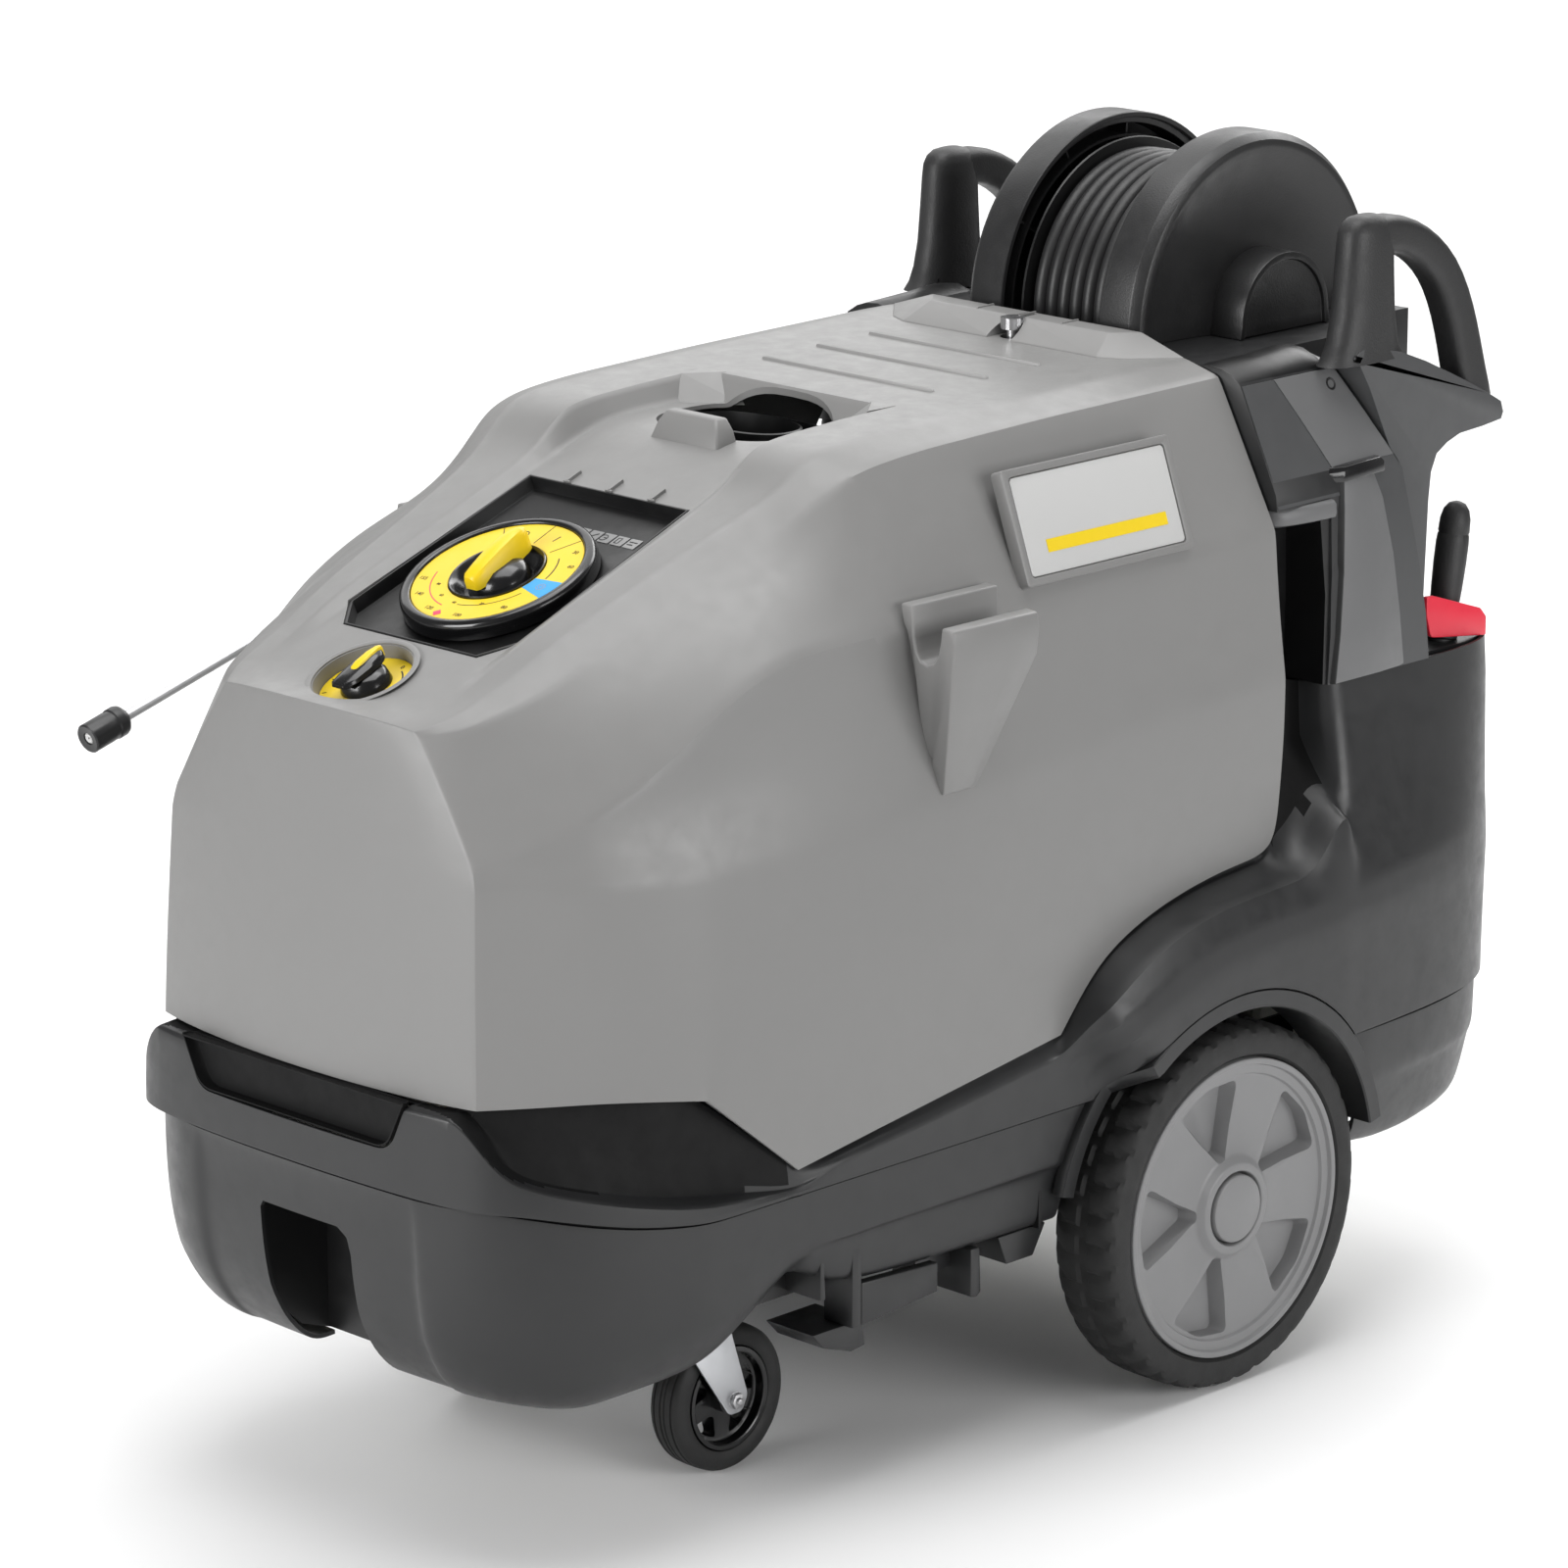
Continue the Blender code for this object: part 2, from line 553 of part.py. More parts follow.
def build_panel(look):
    """Black control panel tray with its dial plates and the two knobs."""
    outline = window_outline(GAP * 2)
    panel = part("control_panel", on_slope(plate("XY", outline, -PANEL_DEPTH, -0.001), PANEL_Y, PANEL_Z),
                 look["black"])
    boolean(panel, on_slope(plate("XY", window_outline(0.004), -PANEL_DEPTH + 0.004, 0.02), PANEL_Y, PANEL_Z))
    boolean(panel, dial_disc(0.0063, -0.03, 0.03, 20))
    floor = -PANEL_DEPTH + 0.004 + GAP
    rim = [(0.0445, floor), (DIAL_R, floor), (DIAL_R, -0.004), (DIAL_R - 0.006, 0.002), (0.0812, 0.002),
           (0.0812, -0.002), (0.0445, -0.002)]
    place = slope_frame(PANEL_Y, PANEL_Z) @ Matrix.Translation((0, DIAL_SHIFT, 0))
    part("dial_bezel", turned(rim, place, 32), look["black"])
    ring = [(0.0455, -0.002 + GAP), (0.0808, -0.002 + GAP), (0.0808, 0.0012), (0.0455, 0.0012)]
    part("dial_scale", turned(ring, place, 32), look["yellow"])
    centre = place @ Vector((0, 0, 0))
    hub = [(0.0, 0.013), (0.0, -0.030), (0.0060, -0.030), (0.0060, floor), (0.0440, floor), (0.0440, 0.002),
           (0.0400, 0.005), (0.0200, 0.005), (0.0180, 0.013)]
    part("main_knob", solid_turned(hub, place, 24), look["black"], centre)
    grip = plate("YZ", [(-0.040, 0.0133), (0.046, 0.0133), (0.044, 0.024), (-0.034, 0.028)], -0.0085, 0.0085)
    grip.transform(place)
    part("main_pointer", grip, look["yellow"], centre)


def solid_turned(profile, place, steps):
    """A turned solid whose profile starts and ends on the axis."""
    mesh = bpy.data.meshes.new("profile")
    points = [(r, 0.0, h) for r, h in profile]
    order = list(range(1, len(points))) + [0]
    edges = [(order[i], order[i + 1]) for i in range(len(points) - 1)]
    mesh.from_pydata(points, edges, [])
    obj = bpy.data.objects.new("turned", mesh)
    bpy.context.scene.collection.objects.link(obj)
    screw = obj.modifiers.new("screw", "SCREW")
    screw.steps = steps
    screw.render_steps = steps
    screw.use_merge_vertices = True
    screw.merge_threshold = 0.00001
    obj.matrix_world = place @ Matrix.Rotation(math.pi / steps, 4, "Z")
    result = evaluated(obj)
    bpy.data.objects.remove(obj)
    return result


def dial_disc(radius, low, high, sides):
    disc = cylinder((0, DIAL_SHIFT, low), (0, DIAL_SHIFT, high), radius, sides)
    return on_slope(disc, PANEL_Y, PANEL_Z)


def build_small_dial(look):
    place = slope_frame(SMALL_Y, SMALL_Z)
    cup = [(0.0065, -0.020), (SMALL_R - 0.0006, -0.020), (SMALL_R - 0.0006, -0.002),
           (SMALL_R - 0.003, -0.002), (SMALL_R - 0.005, -0.014), (0.0065, -0.014)]
    part("pressure_plate", turned(cup, place, 24), look["yellow"])
    centre = place @ Vector((0, 0, 0))
    hub = [(0.0, 0.004), (0.0, -0.032), (0.0060, -0.032), (0.0060, -0.0137), (0.0230, -0.0137),
           (0.0200, 0.004)]
    part("pressure_knob", solid_turned(hub, place, 20), look["black"], centre)
    blade = plate("YZ", [(-0.016, 0.0043), (0.026, 0.0043), (0.024, 0.012), (-0.013, 0.014)], -0.005, 0.005)
    blade.transform(place)
    part("pressure_pointer", blade, look["yellow"], centre)


def build_deck_fittings(look):
    centre = Matrix.Translation((0, -0.100, 0))
    neck = [(0.030, 0.880), (0.0745, 0.880), (0.0745, 0.942), (0.070, 0.942), (0.066, 0.890), (0.037, 0.886),
            (0.036, 0.925), (0.030, 0.925)]
    part("filler_cup", turned(neck, centre, 24), look["black"])
    head = [(0.0, 0.979), (0.0, 0.935), (0.006, 0.935), (0.006, 0.968), (0.012, 0.968), (0.012, 0.979)]
    lock = solid_turned(head, Matrix.Translation((0, 0.262, 0)), 20)
    screw = part("hood_lock", lock, look["steel"], (0, 0.262, 0.960))
    boolean(screw, box((-0.015, 0.2605, 0.9765), (0.015, 0.2635, 0.99)))
    for side, name in ((1, "badge_left"), (-1, "badge_right")):
        build_badge(side, name, look)


def build_badge(side, name, look):
    """Plain plate standing on the sloping upper side of the hood."""
    lean = math.atan2(0.308 - 0.269, 0.921 - 0.812)
    mesh = box((-0.0010, -0.104, -0.046), (0.0015, 0.104, 0.046))
    place = Matrix.Translation((0.2895 + 0.0019, 0.062, 0.868)) @ Matrix.Rotation(-lean, 4, "Y")
    mesh.transform(place)
    if side < 0:
        mirror_image(mesh)
    part(name, mesh, look["white"])


def build_handles(look):
    """A closed loop handle at each rear corner."""
    outer = [(0.3985, 0.986), (0.4215, 1.070), (0.4290, 1.082), (0.4420, 1.087), (0.5160, 1.080),
             (0.5540, 1.063), (0.5900, 1.035), (0.6190, 0.993), (0.6410, 0.925), (0.6520, 0.867),
             (0.5780, 0.863), (0.5520, 0.849), (0.5400, 0.827), (0.5265, 0.8010)]
    hole = [(0.4960, 1.044), (0.5210, 1.034), (0.5460, 1.006), (0.5650, 0.965), (0.5750, 0.924),
            (0.5190, 0.946), (0.5040, 0.987)]
    for side, name in ((1, "handle_left"), (-1, "handle_right")):
        low, high = sorted((side * (HANDLE_X - HANDLE_T / 2), side * (HANDLE_X + HANDLE_T / 2)))
        mesh = plate("YZ", outer, low, high, [list(reversed(hole))])
        handle = part(name, mesh, look["black"])
        bevel(handle, 0.006, 2)


def build_reel(look):
    cover = build_cover(look)
    part("reel_cover_right", mirror_image(evaluated(cover)), look["black"])
    centre = (0, REEL_Y, REEL_Z)
    spool = [(SHAFT_R + 0.0005, -0.061), (FLANGE_R, -0.061), (FLANGE_R, -0.058), (DRUM_R, -0.058),
             (DRUM_R, 0.058), (FLANGE_R, 0.058), (FLANGE_R, 0.061), (SHAFT_R + 0.0005, 0.061)]
    part("reel_drum", turned(spool, along_x(*centre), 28), look["black"], centre)
    pack = [(DRUM_R + GAP, -0.0575), (HOSE_R, -0.0575), (HOSE_R, 0.0575), (DRUM_R + GAP, 0.0575)]
    part("hose_winding", turned(pack, along_x(*centre), 28), look["rubber"], centre)
    shaft = cylinder((-0.1050, REEL_Y, REEL_Z), (0.1050, REEL_Y, REEL_Z), SHAFT_R, 20)
    part("reel_shaft", shaft, look["steel"])


def build_cover(look):
    """Half-round reel cover with an open inner side and a domed bearing boss."""
    dish = [(0.0, COVER_OUT_X), (0.0, COVER_OUT_X - 0.006), (COVER_R - 0.016, COVER_OUT_X - 0.006),
            (COVER_R - 0.006, COVER_OUT_X - 0.012), (COVER_R - 0.006, COVER_IN_X), (COVER_R, COVER_IN_X),
            (COVER_R, COVER_OUT_X - 0.010), (COVER_R - 0.014, COVER_OUT_X)]
    place = along_x(0, REEL_Y, REEL_Z)
    cover = part("reel_cover_left", solid_turned(dish, place, 32), look["black"])
    boss = [(REEL_Y + 0.066, TOP_Z), *arc(REEL_Y, REEL_Z + 0.002, 0.066, 0, 180, 12), (REEL_Y - 0.066, TOP_Z)]
    boolean(cover, plate("YZ", boss, COVER_OUT_X - 0.003, 0.150), "UNION")
    boolean(cover, box((-0.3, REEL_Y - 0.3, 0.70), (0.3, REEL_Y + 0.3, TOP_Z + GAP)))
    return cover


def build_rear_wheels(look):
    for side, label in ((1, "left"), (-1, "right")):
        x_in = TYRE_IN_X
        width = TYRE_OUT_X - TYRE_IN_X
        place = along_x(side * x_in, AXLE_Y, AXLE_Z, side)
        centre = (side * (x_in + width / 2), AXLE_Y, AXLE_Z)
        flat = TYRE_R / math.cos(math.pi / WHEEL_STEPS)
        tread = [(RIM_R + GAP, 0.006), (RIM_R + 0.012, 0.0), (flat - 0.012, 0.0), (flat, 0.012),
                 (flat, width - 0.012), (flat - 0.012, width), (RIM_R + 0.012, width),
                 (RIM_R + GAP, width - 0.006)]
        part("tyre_" + label, turned(tread, place, WHEEL_STEPS), look["rubber"], centre)
        disc = [(AXLE_R + 0.0005, 0.004), (0.034, 0.030), (RIM_R - 0.010, 0.030), (RIM_R, 0.008),
                (RIM_R, width - 0.008), (RIM_R - 0.010, width - 0.010), (RIM_R - 0.020, width - 0.024),
                (0.036, width - 0.006), (AXLE_R + 0.0005, width - 0.006)]
        part("rim_" + label, turned(disc, place, WHEEL_STEPS), look["rim"], centre)
        cap = [(0.0, width + 0.006), (0.0, width - 0.0055), (0.034, width - 0.0055), (0.034, width + 0.002),
               (0.030, width + 0.006)]
        part("hub_cap_" + label, solid_turned(cap, place, 20), look["rim"], centre)
    reach = TYRE_OUT_X - 0.0065
    axle = cylinder((-reach, AXLE_Y, AXLE_Z), (reach, AXLE_Y, AXLE_Z), AXLE_R, 24)
    part("rear_axle", axle, look["steel"])
    carrier = part("axle_carrier", box((-0.225, AXLE_Y - 0.045, 0.150), (0.225, AXLE_Y + 0.045, 0.1937)),
                   look["painted"])
    boolean(carrier, box((-0.215, AXLE_Y - 0.060, 0.10), (0.215, AXLE_Y + 0.060, 0.1907)))
    boolean(carrier, cylinder((-0.3, AXLE_Y, AXLE_Z), (0.3, AXLE_Y, AXLE_Z), AXLE_R + GAP, 24))


def build_casters(look):
    for side, label in ((1, "left"), (-1, "right")):
        x = side * CASTER_X
        pivot = (x, CASTER_PIVOT_Y, 0.150)
        wheel_y = CASTER_PIVOT_Y + CASTER_TRAIL
        plate_mesh = box((x - 0.045, CASTER_PIVOT_Y - 0.036, 0.168), (x + 0.045, CASTER_PIVOT_Y + 0.036,
                                                                     CASTER_TOP_Z - GAP))
        mount = part("caster_plate_" + label, plate_mesh, look["zinc"])
        boolean(mount, cylinder((x, CASTER_PIVOT_Y, 0.1595), (x, CASTER_PIVOT_Y, 0.170), 0.026, 24), "UNION")
        build_fork(x, wheel_y, label, pivot, look)
        place = along_x(x - CASTER_W / 2, wheel_y, CASTER_R)
        centre = (x, wheel_y, CASTER_R)
        flat = CASTER_R / math.cos(math.pi / CASTER_STEPS)
        inner = 0.050 / math.cos(math.pi / CASTER_STEPS)
        tread = [(inner, 0.0), (flat - 0.006, 0.0), (flat, 0.006), (flat, CASTER_W - 0.006),
                 (flat - 0.006, CASTER_W), (inner, CASTER_W)]
        part("caster_tyre_" + label, turned(tread, place, CASTER_STEPS), look["rubber"], centre)
        rim = [(0.0055, -0.001), (0.014, -0.001), (0.016, 0.012), (0.040, 0.012), (inner - GAP, 0.003),
               (inner - GAP, CASTER_W - 0.003), (0.040, CASTER_W - 0.012), (0.016, CASTER_W - 0.012),
               (0.014, CASTER_W + 0.001), (0.0055, CASTER_W + 0.001)]
        part("caster_rim_" + label, turned(rim, place, CASTER_STEPS), look["black"], centre)


def build_fork(x, wheel_y, label, pivot, look):
    """Pressed steel swivel fork, with its axle bolt and nut."""
    pivot_y = pivot[1]
    half = CASTER_W / 2 + 0.0045
    fork = part("caster_fork_" + label, box((x - half - 0.0005, pivot_y - 0.030, 0.1455),
                                                (x + half + 0.0005, pivot_y + 0.034, 0.150)),
                look["zinc"], pivot)
    tools = []
    leg = [(pivot_y - 0.026, 0.149), (pivot_y + 0.032, 0.149), (wheel_y + 0.018, 0.090),
           (wheel_y + 0.014, 0.060), (wheel_y - 0.008, 0.056), (wheel_y - 0.018, 0.072)]
    for sign in (-1, 1):
        low, high = sorted((x + sign * (half - 0.003), x + sign * half))
        tools.append(plate("YZ", leg, low, high))
    tools.append(cylinder((x, pivot_y, 0.148), (x, pivot_y, 0.1592), 0.022, 24))
    for mesh in tools:
        mesh.transform(Matrix.Translation(-Vector(pivot)))
        step = boolean(fork, mesh, "UNION")
        step.object.location = pivot
    bore = cylinder((x - 0.1, wheel_y, CASTER_R), (x + 0.1, wheel_y, CASTER_R), 0.0053, 20)
    boolean(fork, bore)
    bolt = [(0.0, half + 0.008), (0.0, -half - 0.006), (0.009, -half - 0.006), (0.009, -half - GAP),
            (0.005, -half - GAP), (0.005, half + GAP), (0.009, half + GAP), (0.009, half + 0.006),
            (0.005, half + 0.008)]
    mesh = solid_turned(bolt, along_x(x, wheel_y, CASTER_R), 12)
    part("caster_bolt_" + label, mesh, look["steel"])


def lance_frame():
    """Local Z runs back and up along the lance from the mouth of its nozzle."""
    way = (0, math.cos(LANCE_RISE), math.sin(LANCE_RISE))
    return Matrix.Translation((LANCE_X, LANCE_Y, LANCE_Z)) @ turn_to(way)


def build_lance(look):
    place = lance_frame()
    tube = [(0.0, LANCE_LEN - 0.030), (0.0, 0.020), (LANCE_R, 0.020), (LANCE_R, LANCE_LEN - 0.030)]
    tail = [(0.0, LANCE_LEN), (0.0, LANCE_LEN - 0.030 + GAP), (0.011, LANCE_LEN - 0.030 + GAP),
            (0.011, LANCE_LEN)]
    part("lance_tube", solid_turned(tube, place, 16), look["steel"])
    part("lance_connector", solid_turned(tail, place, 20), look["brass"])
    centre = place @ Vector((0, 0, 0))
    sleeve = [(0.009, 0.0), (0.015, 0.0), (0.0155, 0.006), (0.0145, 0.040), (0.0100, 0.048),
              (LANCE_R + GAP, 0.048), (LANCE_R + GAP, 0.018), (0.009, 0.016)]
    part("lance_nozzle", turned(sleeve, place, 16), look["shell"], centre)


def build_gun(look):
    """Trigger gun standing in its holder: barrel down, grip up, with a red trigger lever."""
    lean = Matrix.Translation((GUN_X, GUN_Y, SHELF_Z)) @ Matrix.Rotation(-0.16, 4, "X")
    grip = [(0.0, 0.136), (0.0, 0.0245), (0.0165, 0.0245), (0.0165, 0.050), (0.0158, 0.086), (0.0135, 0.120),
            (0.0080, 0.132)]
    origin = (GUN_X, GUN_Y, SHELF_Z)
    gun = part("gun_body", solid_turned(grip, lean, 24), look["black"], origin)
    block = box((-0.016, -0.040, 0.0006), (0.016, 0.030, 0.034))
    barrel = cylinder((0, 0, -0.070), (0, 0, 0.010), 0.013, 20)
    for mesh in (block, barrel):
        step = boolean(gun, mesh, "UNION")
        step.object.location = origin
    lever = plate("YZ", [(-0.050, 0.054), (-0.048, 0.034), (-0.042, 0.014), (0.040, 0.0007), (0.044, 0.020),
                         (0.034, 0.0243), (-0.040, 0.0405)], 0.0170, 0.0230)
    lever.transform(Matrix.Translation(origin))
    part("gun_trigger", lever, look["red"], (GUN_X, GUN_Y - 0.030, SHELF_Z + 0.030))


def build_inside(look):
    """What the machine holds: motor, pump, boiler, burner fan, tanks and the electrical box."""
    base = FLOOR_Z + GAP
    motor = part("motor", cylinder((0.105, -0.330, 0.305), (0.105, -0.080, 0.305), 0.085, 28), look["cast"])
    boolean(motor, box((0.045, -0.310, base), (0.165, -0.110, 0.260)), "UNION")
    pump = part("pump", box((0.035, -0.475, 0.245), (0.175, -0.3305, 0.375)), look["brass"])
    bevel(pump, 0.008, 1)
    boiler = [(0.0, 0.700), (0.0, base), (0.128, base), (0.128, 0.680), (0.110, 0.700)]
    part("boiler", solid_turned(boiler, Matrix.Translation((-0.060, 0.125, 0)), 32), look["cast"])
    fan = [(0.0, 0.800), (0.0, 0.700 + GAP), (0.075, 0.700 + GAP), (0.075, 0.780), (0.060, 0.800)]
    part("burner_fan", solid_turned(fan, Matrix.Translation((-0.060, 0.125, 0)), 28), look["painted"])
    tank = part("fuel_tank", box((-0.250, -0.480, base), (-0.030, -0.180, 0.520)), look["tank"])
    bevel(tank, 0.012, 2)
    water = part("water_tank", box((-0.200, 0.400, base), (0.200, 0.600, 0.560)), look["tank"])
    bevel(water, 0.012, 2)
    part("control_box", box((-0.120, -0.440, 0.600), (0.120, -0.200, 0.760)), look["painted"])
    posts = box((-0.115, -0.240, 0.5205), (-0.095, -0.210, 0.5995))
    part("control_post", posts, look["painted"])


def main():
    clear_scene()
    look = build_looks()
    build_tray(look)
    build_body_shell(look)
    build_rear_body(look)
    build_hood(look)
    build_panel(look)
    build_small_dial(look)
    build_deck_fittings(look)
    build_handles(look)
    build_reel(look)
    build_rear_wheels(look)
    build_casters(look)
    build_lance(look)
    build_gun(look)
    build_inside(look)


main()
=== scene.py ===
"""Detailed hot water pressure washer with a hose reel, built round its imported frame."""

import math

import bmesh
import bpy
from mathutils import Matrix, Vector


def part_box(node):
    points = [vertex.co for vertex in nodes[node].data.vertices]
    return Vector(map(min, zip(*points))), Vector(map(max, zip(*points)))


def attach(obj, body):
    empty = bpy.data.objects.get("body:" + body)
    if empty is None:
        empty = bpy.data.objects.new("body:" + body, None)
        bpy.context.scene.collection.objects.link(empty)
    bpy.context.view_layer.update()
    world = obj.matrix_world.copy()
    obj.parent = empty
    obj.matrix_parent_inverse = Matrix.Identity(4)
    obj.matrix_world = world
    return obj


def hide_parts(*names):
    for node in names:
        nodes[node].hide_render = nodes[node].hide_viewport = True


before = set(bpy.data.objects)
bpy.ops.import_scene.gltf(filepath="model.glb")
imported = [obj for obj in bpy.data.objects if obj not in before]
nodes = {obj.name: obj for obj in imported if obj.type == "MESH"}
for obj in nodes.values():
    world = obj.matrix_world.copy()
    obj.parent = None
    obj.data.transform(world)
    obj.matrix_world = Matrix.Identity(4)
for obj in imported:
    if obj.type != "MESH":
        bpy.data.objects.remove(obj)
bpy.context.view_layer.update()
SIDES = ((1, "left"), (-1, "right"))


# ---------------------------------------------------------------- camera, lights, floor

def aim(azimuth, elevation):
    """Unit vector from the object towards a viewer at that azimuth and elevation."""
    a, e = math.radians(azimuth), math.radians(elevation)
    return Vector((math.sin(a) * math.cos(e), -math.cos(a) * math.cos(e), math.sin(e)))


def look_matrix(back, place):
    """Frame at a place whose Z points back, away from where it looks."""
    side = Vector((0, 0, 1)).cross(back).normalized()
    up = back.cross(side)
    turn = Matrix((side, up, back)).transposed().to_4x4()
    return Matrix.Translation(place) @ turn


VIEW_AZIMUTH, VIEW_ELEVATION = 44.8, 15.2
CAMERA_PLACE = (4.15140, -4.22916, 2.17649)
CAMERA_LENS = 149.15


def build_camera():
    """Camera that looks from where the photograph was taken."""
    data = bpy.data.cameras.new("camera")
    data.lens = CAMERA_LENS
    data.sensor_width = 36.0
    data.clip_end = 60.0
    camera = bpy.data.objects.new("camera", data)
    camera.matrix_world = look_matrix(aim(VIEW_AZIMUTH, VIEW_ELEVATION), Vector(CAMERA_PLACE))
    bpy.context.scene.collection.objects.link(camera)
    bpy.context.scene.camera = camera


def area_light(name, azimuth, elevation, distance, size, power, target=(0, 0, 0.5)):
    data = bpy.data.lights.new(name, "AREA")
    data.shape = "RECTANGLE"
    data.size, data.size_y = size
    data.energy = power
    lamp = bpy.data.objects.new(name, data)
    back = aim(azimuth, elevation)
    lamp.matrix_world = look_matrix(back, Vector(target) + back * distance)
    bpy.context.scene.collection.objects.link(lamp)


WORLD = 0.22
SIDE_POWER = 96
FRONT_POWER = 138
TOP_POWER = 78
BACK_POWER = 50
BACKDROP_POWER = 260


def build_stage():
    """Soft studio light from boxes round the object, and a plain white floor."""
    world = bpy.data.worlds.new("studio")
    bpy.context.scene.world = world
    world.use_nodes = True
    world.node_tree.nodes["Background"].inputs["Color"].default_value = (1.0, 1.0, 1.0, 1.0)
    world.node_tree.nodes["Background"].inputs["Strength"].default_value = WORLD
    area_light("side_box", 96, 14, 4.6, (3.2, 1.9), SIDE_POWER)
    area_light("front_box", -8, 16, 4.6, (2.4, 1.8), FRONT_POWER)
    area_light("top_box", 30, 86, 3.4, (2.6, 2.6), TOP_POWER)
    area_light("back_box", 190, 34, 4.6, (3.0, 1.6), BACK_POWER)
    for name, reach in (("backdrop_near", 5.0), ("backdrop_far", 11.5)):
        back = aim(VIEW_AZIMUTH, 0) * -reach
        area_light(name, 0, 89.5, 3.6, (9.0, 7.0), BACKDROP_POWER, (back.x, back.y, 0))
    bm = bmesh.new()
    bmesh.ops.create_grid(bm, x_segments=1, y_segments=1, size=22.0)
    floor = add_mesh("floor", bm)
    floor.data.materials.append(floor_look())
    bpy.context.scene.view_settings.view_transform = "Standard"


# ---------------------------------------------------------------- materials

def node_setup(name):
    """A material, its node tree and its shader."""
    look = bpy.data.materials.new(name)
    look.use_nodes = True
    tree = look.node_tree
    return look, tree, tree.nodes["Principled BSDF"]


def add_node(tree, kind, **values):
    node = tree.nodes.new(kind)
    for key, value in values.items():
        if key in node.inputs:
            node.inputs[key].default_value = value
        else:
            setattr(node, key, value)
    return node


def floor_look():
    """White floor with a slightly uneven sheen."""
    look, tree, shader = node_setup("floor_white")
    coords = tree.nodes.new("ShaderNodeTexCoord")
    noise = add_node(tree, "ShaderNodeTexNoise", Scale=3.0, Detail=3.0)
    ramp = add_node(tree, "ShaderNodeMapRange")
    ramp.inputs["To Min"].default_value = 0.55
    ramp.inputs["To Max"].default_value = 0.7
    tree.links.new(coords.outputs["Object"], noise.inputs["Vector"])
    tree.links.new(noise.outputs["Fac"], ramp.inputs["Value"])
    tree.links.new(ramp.outputs["Result"], shader.inputs["Roughness"])
    shader.inputs["Base Color"].default_value = (0.93, 0.93, 0.93, 1)
    return look


def moulded(name, colour, rough, grain=700.0, bump=0.25, depth=0.00025, mottle=0.05, streak=0.0,
            metallic=0.0, coat=0.0, specular=0.5, vary=0.06):
    """Moulded plastic, rubber or metal: fine grain bump, cloudy colour and uneven roughness."""
    look, tree, shader = node_setup(name)
    coords = tree.nodes.new("ShaderNodeTexCoord")
    cloud = add_node(tree, "ShaderNodeTexNoise", Scale=7.0, Detail=4.0, Roughness=0.6)
    tone = tree.nodes.new("ShaderNodeMix")
    tone.data_type = "RGBA"
    dark = [c * (1 - mottle) for c in colour]
    light = [min(1.0, c * (1 + mottle)) for c in colour]
    tone.inputs[6].default_value = (*dark, 1)
    tone.inputs[7].default_value = (*light, 1)
    tree.links.new(coords.outputs["Object"], cloud.inputs["Vector"])
    tree.links.new(cloud.outputs["Fac"], tone.inputs[0])
    tree.links.new(tone.outputs[2], shader.inputs["Base Color"])
    rub = add_node(tree, "ShaderNodeTexNoise", Scale=45.0, Detail=3.0, Roughness=0.65)
    stretch = add_node(tree, "ShaderNodeMapping")
    stretch.inputs["Scale"].default_value = (1.0, 1.0 + streak, 1.0)
    tree.links.new(coords.outputs["Object"], stretch.inputs["Vector"])
    tree.links.new(stretch.outputs["Vector"], rub.inputs["Vector"])
    ramp = tree.nodes.new("ShaderNodeMapRange")
    ramp.inputs["From Min"].default_value = 0.3
    ramp.inputs["From Max"].default_value = 0.7
    ramp.inputs["To Min"].default_value = max(0.02, rough - vary)
    ramp.inputs["To Max"].default_value = min(1.0, rough + vary)
    tree.links.new(rub.outputs["Fac"], ramp.inputs["Value"])
    tree.links.new(ramp.outputs["Result"], shader.inputs["Roughness"])
    fine = add_node(tree, "ShaderNodeTexNoise", Scale=grain, Detail=2.0, Roughness=0.5)
    lift = add_node(tree, "ShaderNodeBump", Strength=bump, Distance=depth)
    tree.links.new(coords.outputs["Object"], fine.inputs["Vector"])
    tree.links.new(fine.outputs["Fac"], lift.inputs["Height"])
    tree.links.new(lift.outputs["Normal"], shader.inputs["Normal"])
    shader.inputs["Metallic"].default_value = metallic
    shader.inputs["Coat Weight"].default_value = coat
    shader.inputs["Specular IOR Level"].default_value = specular
    return look


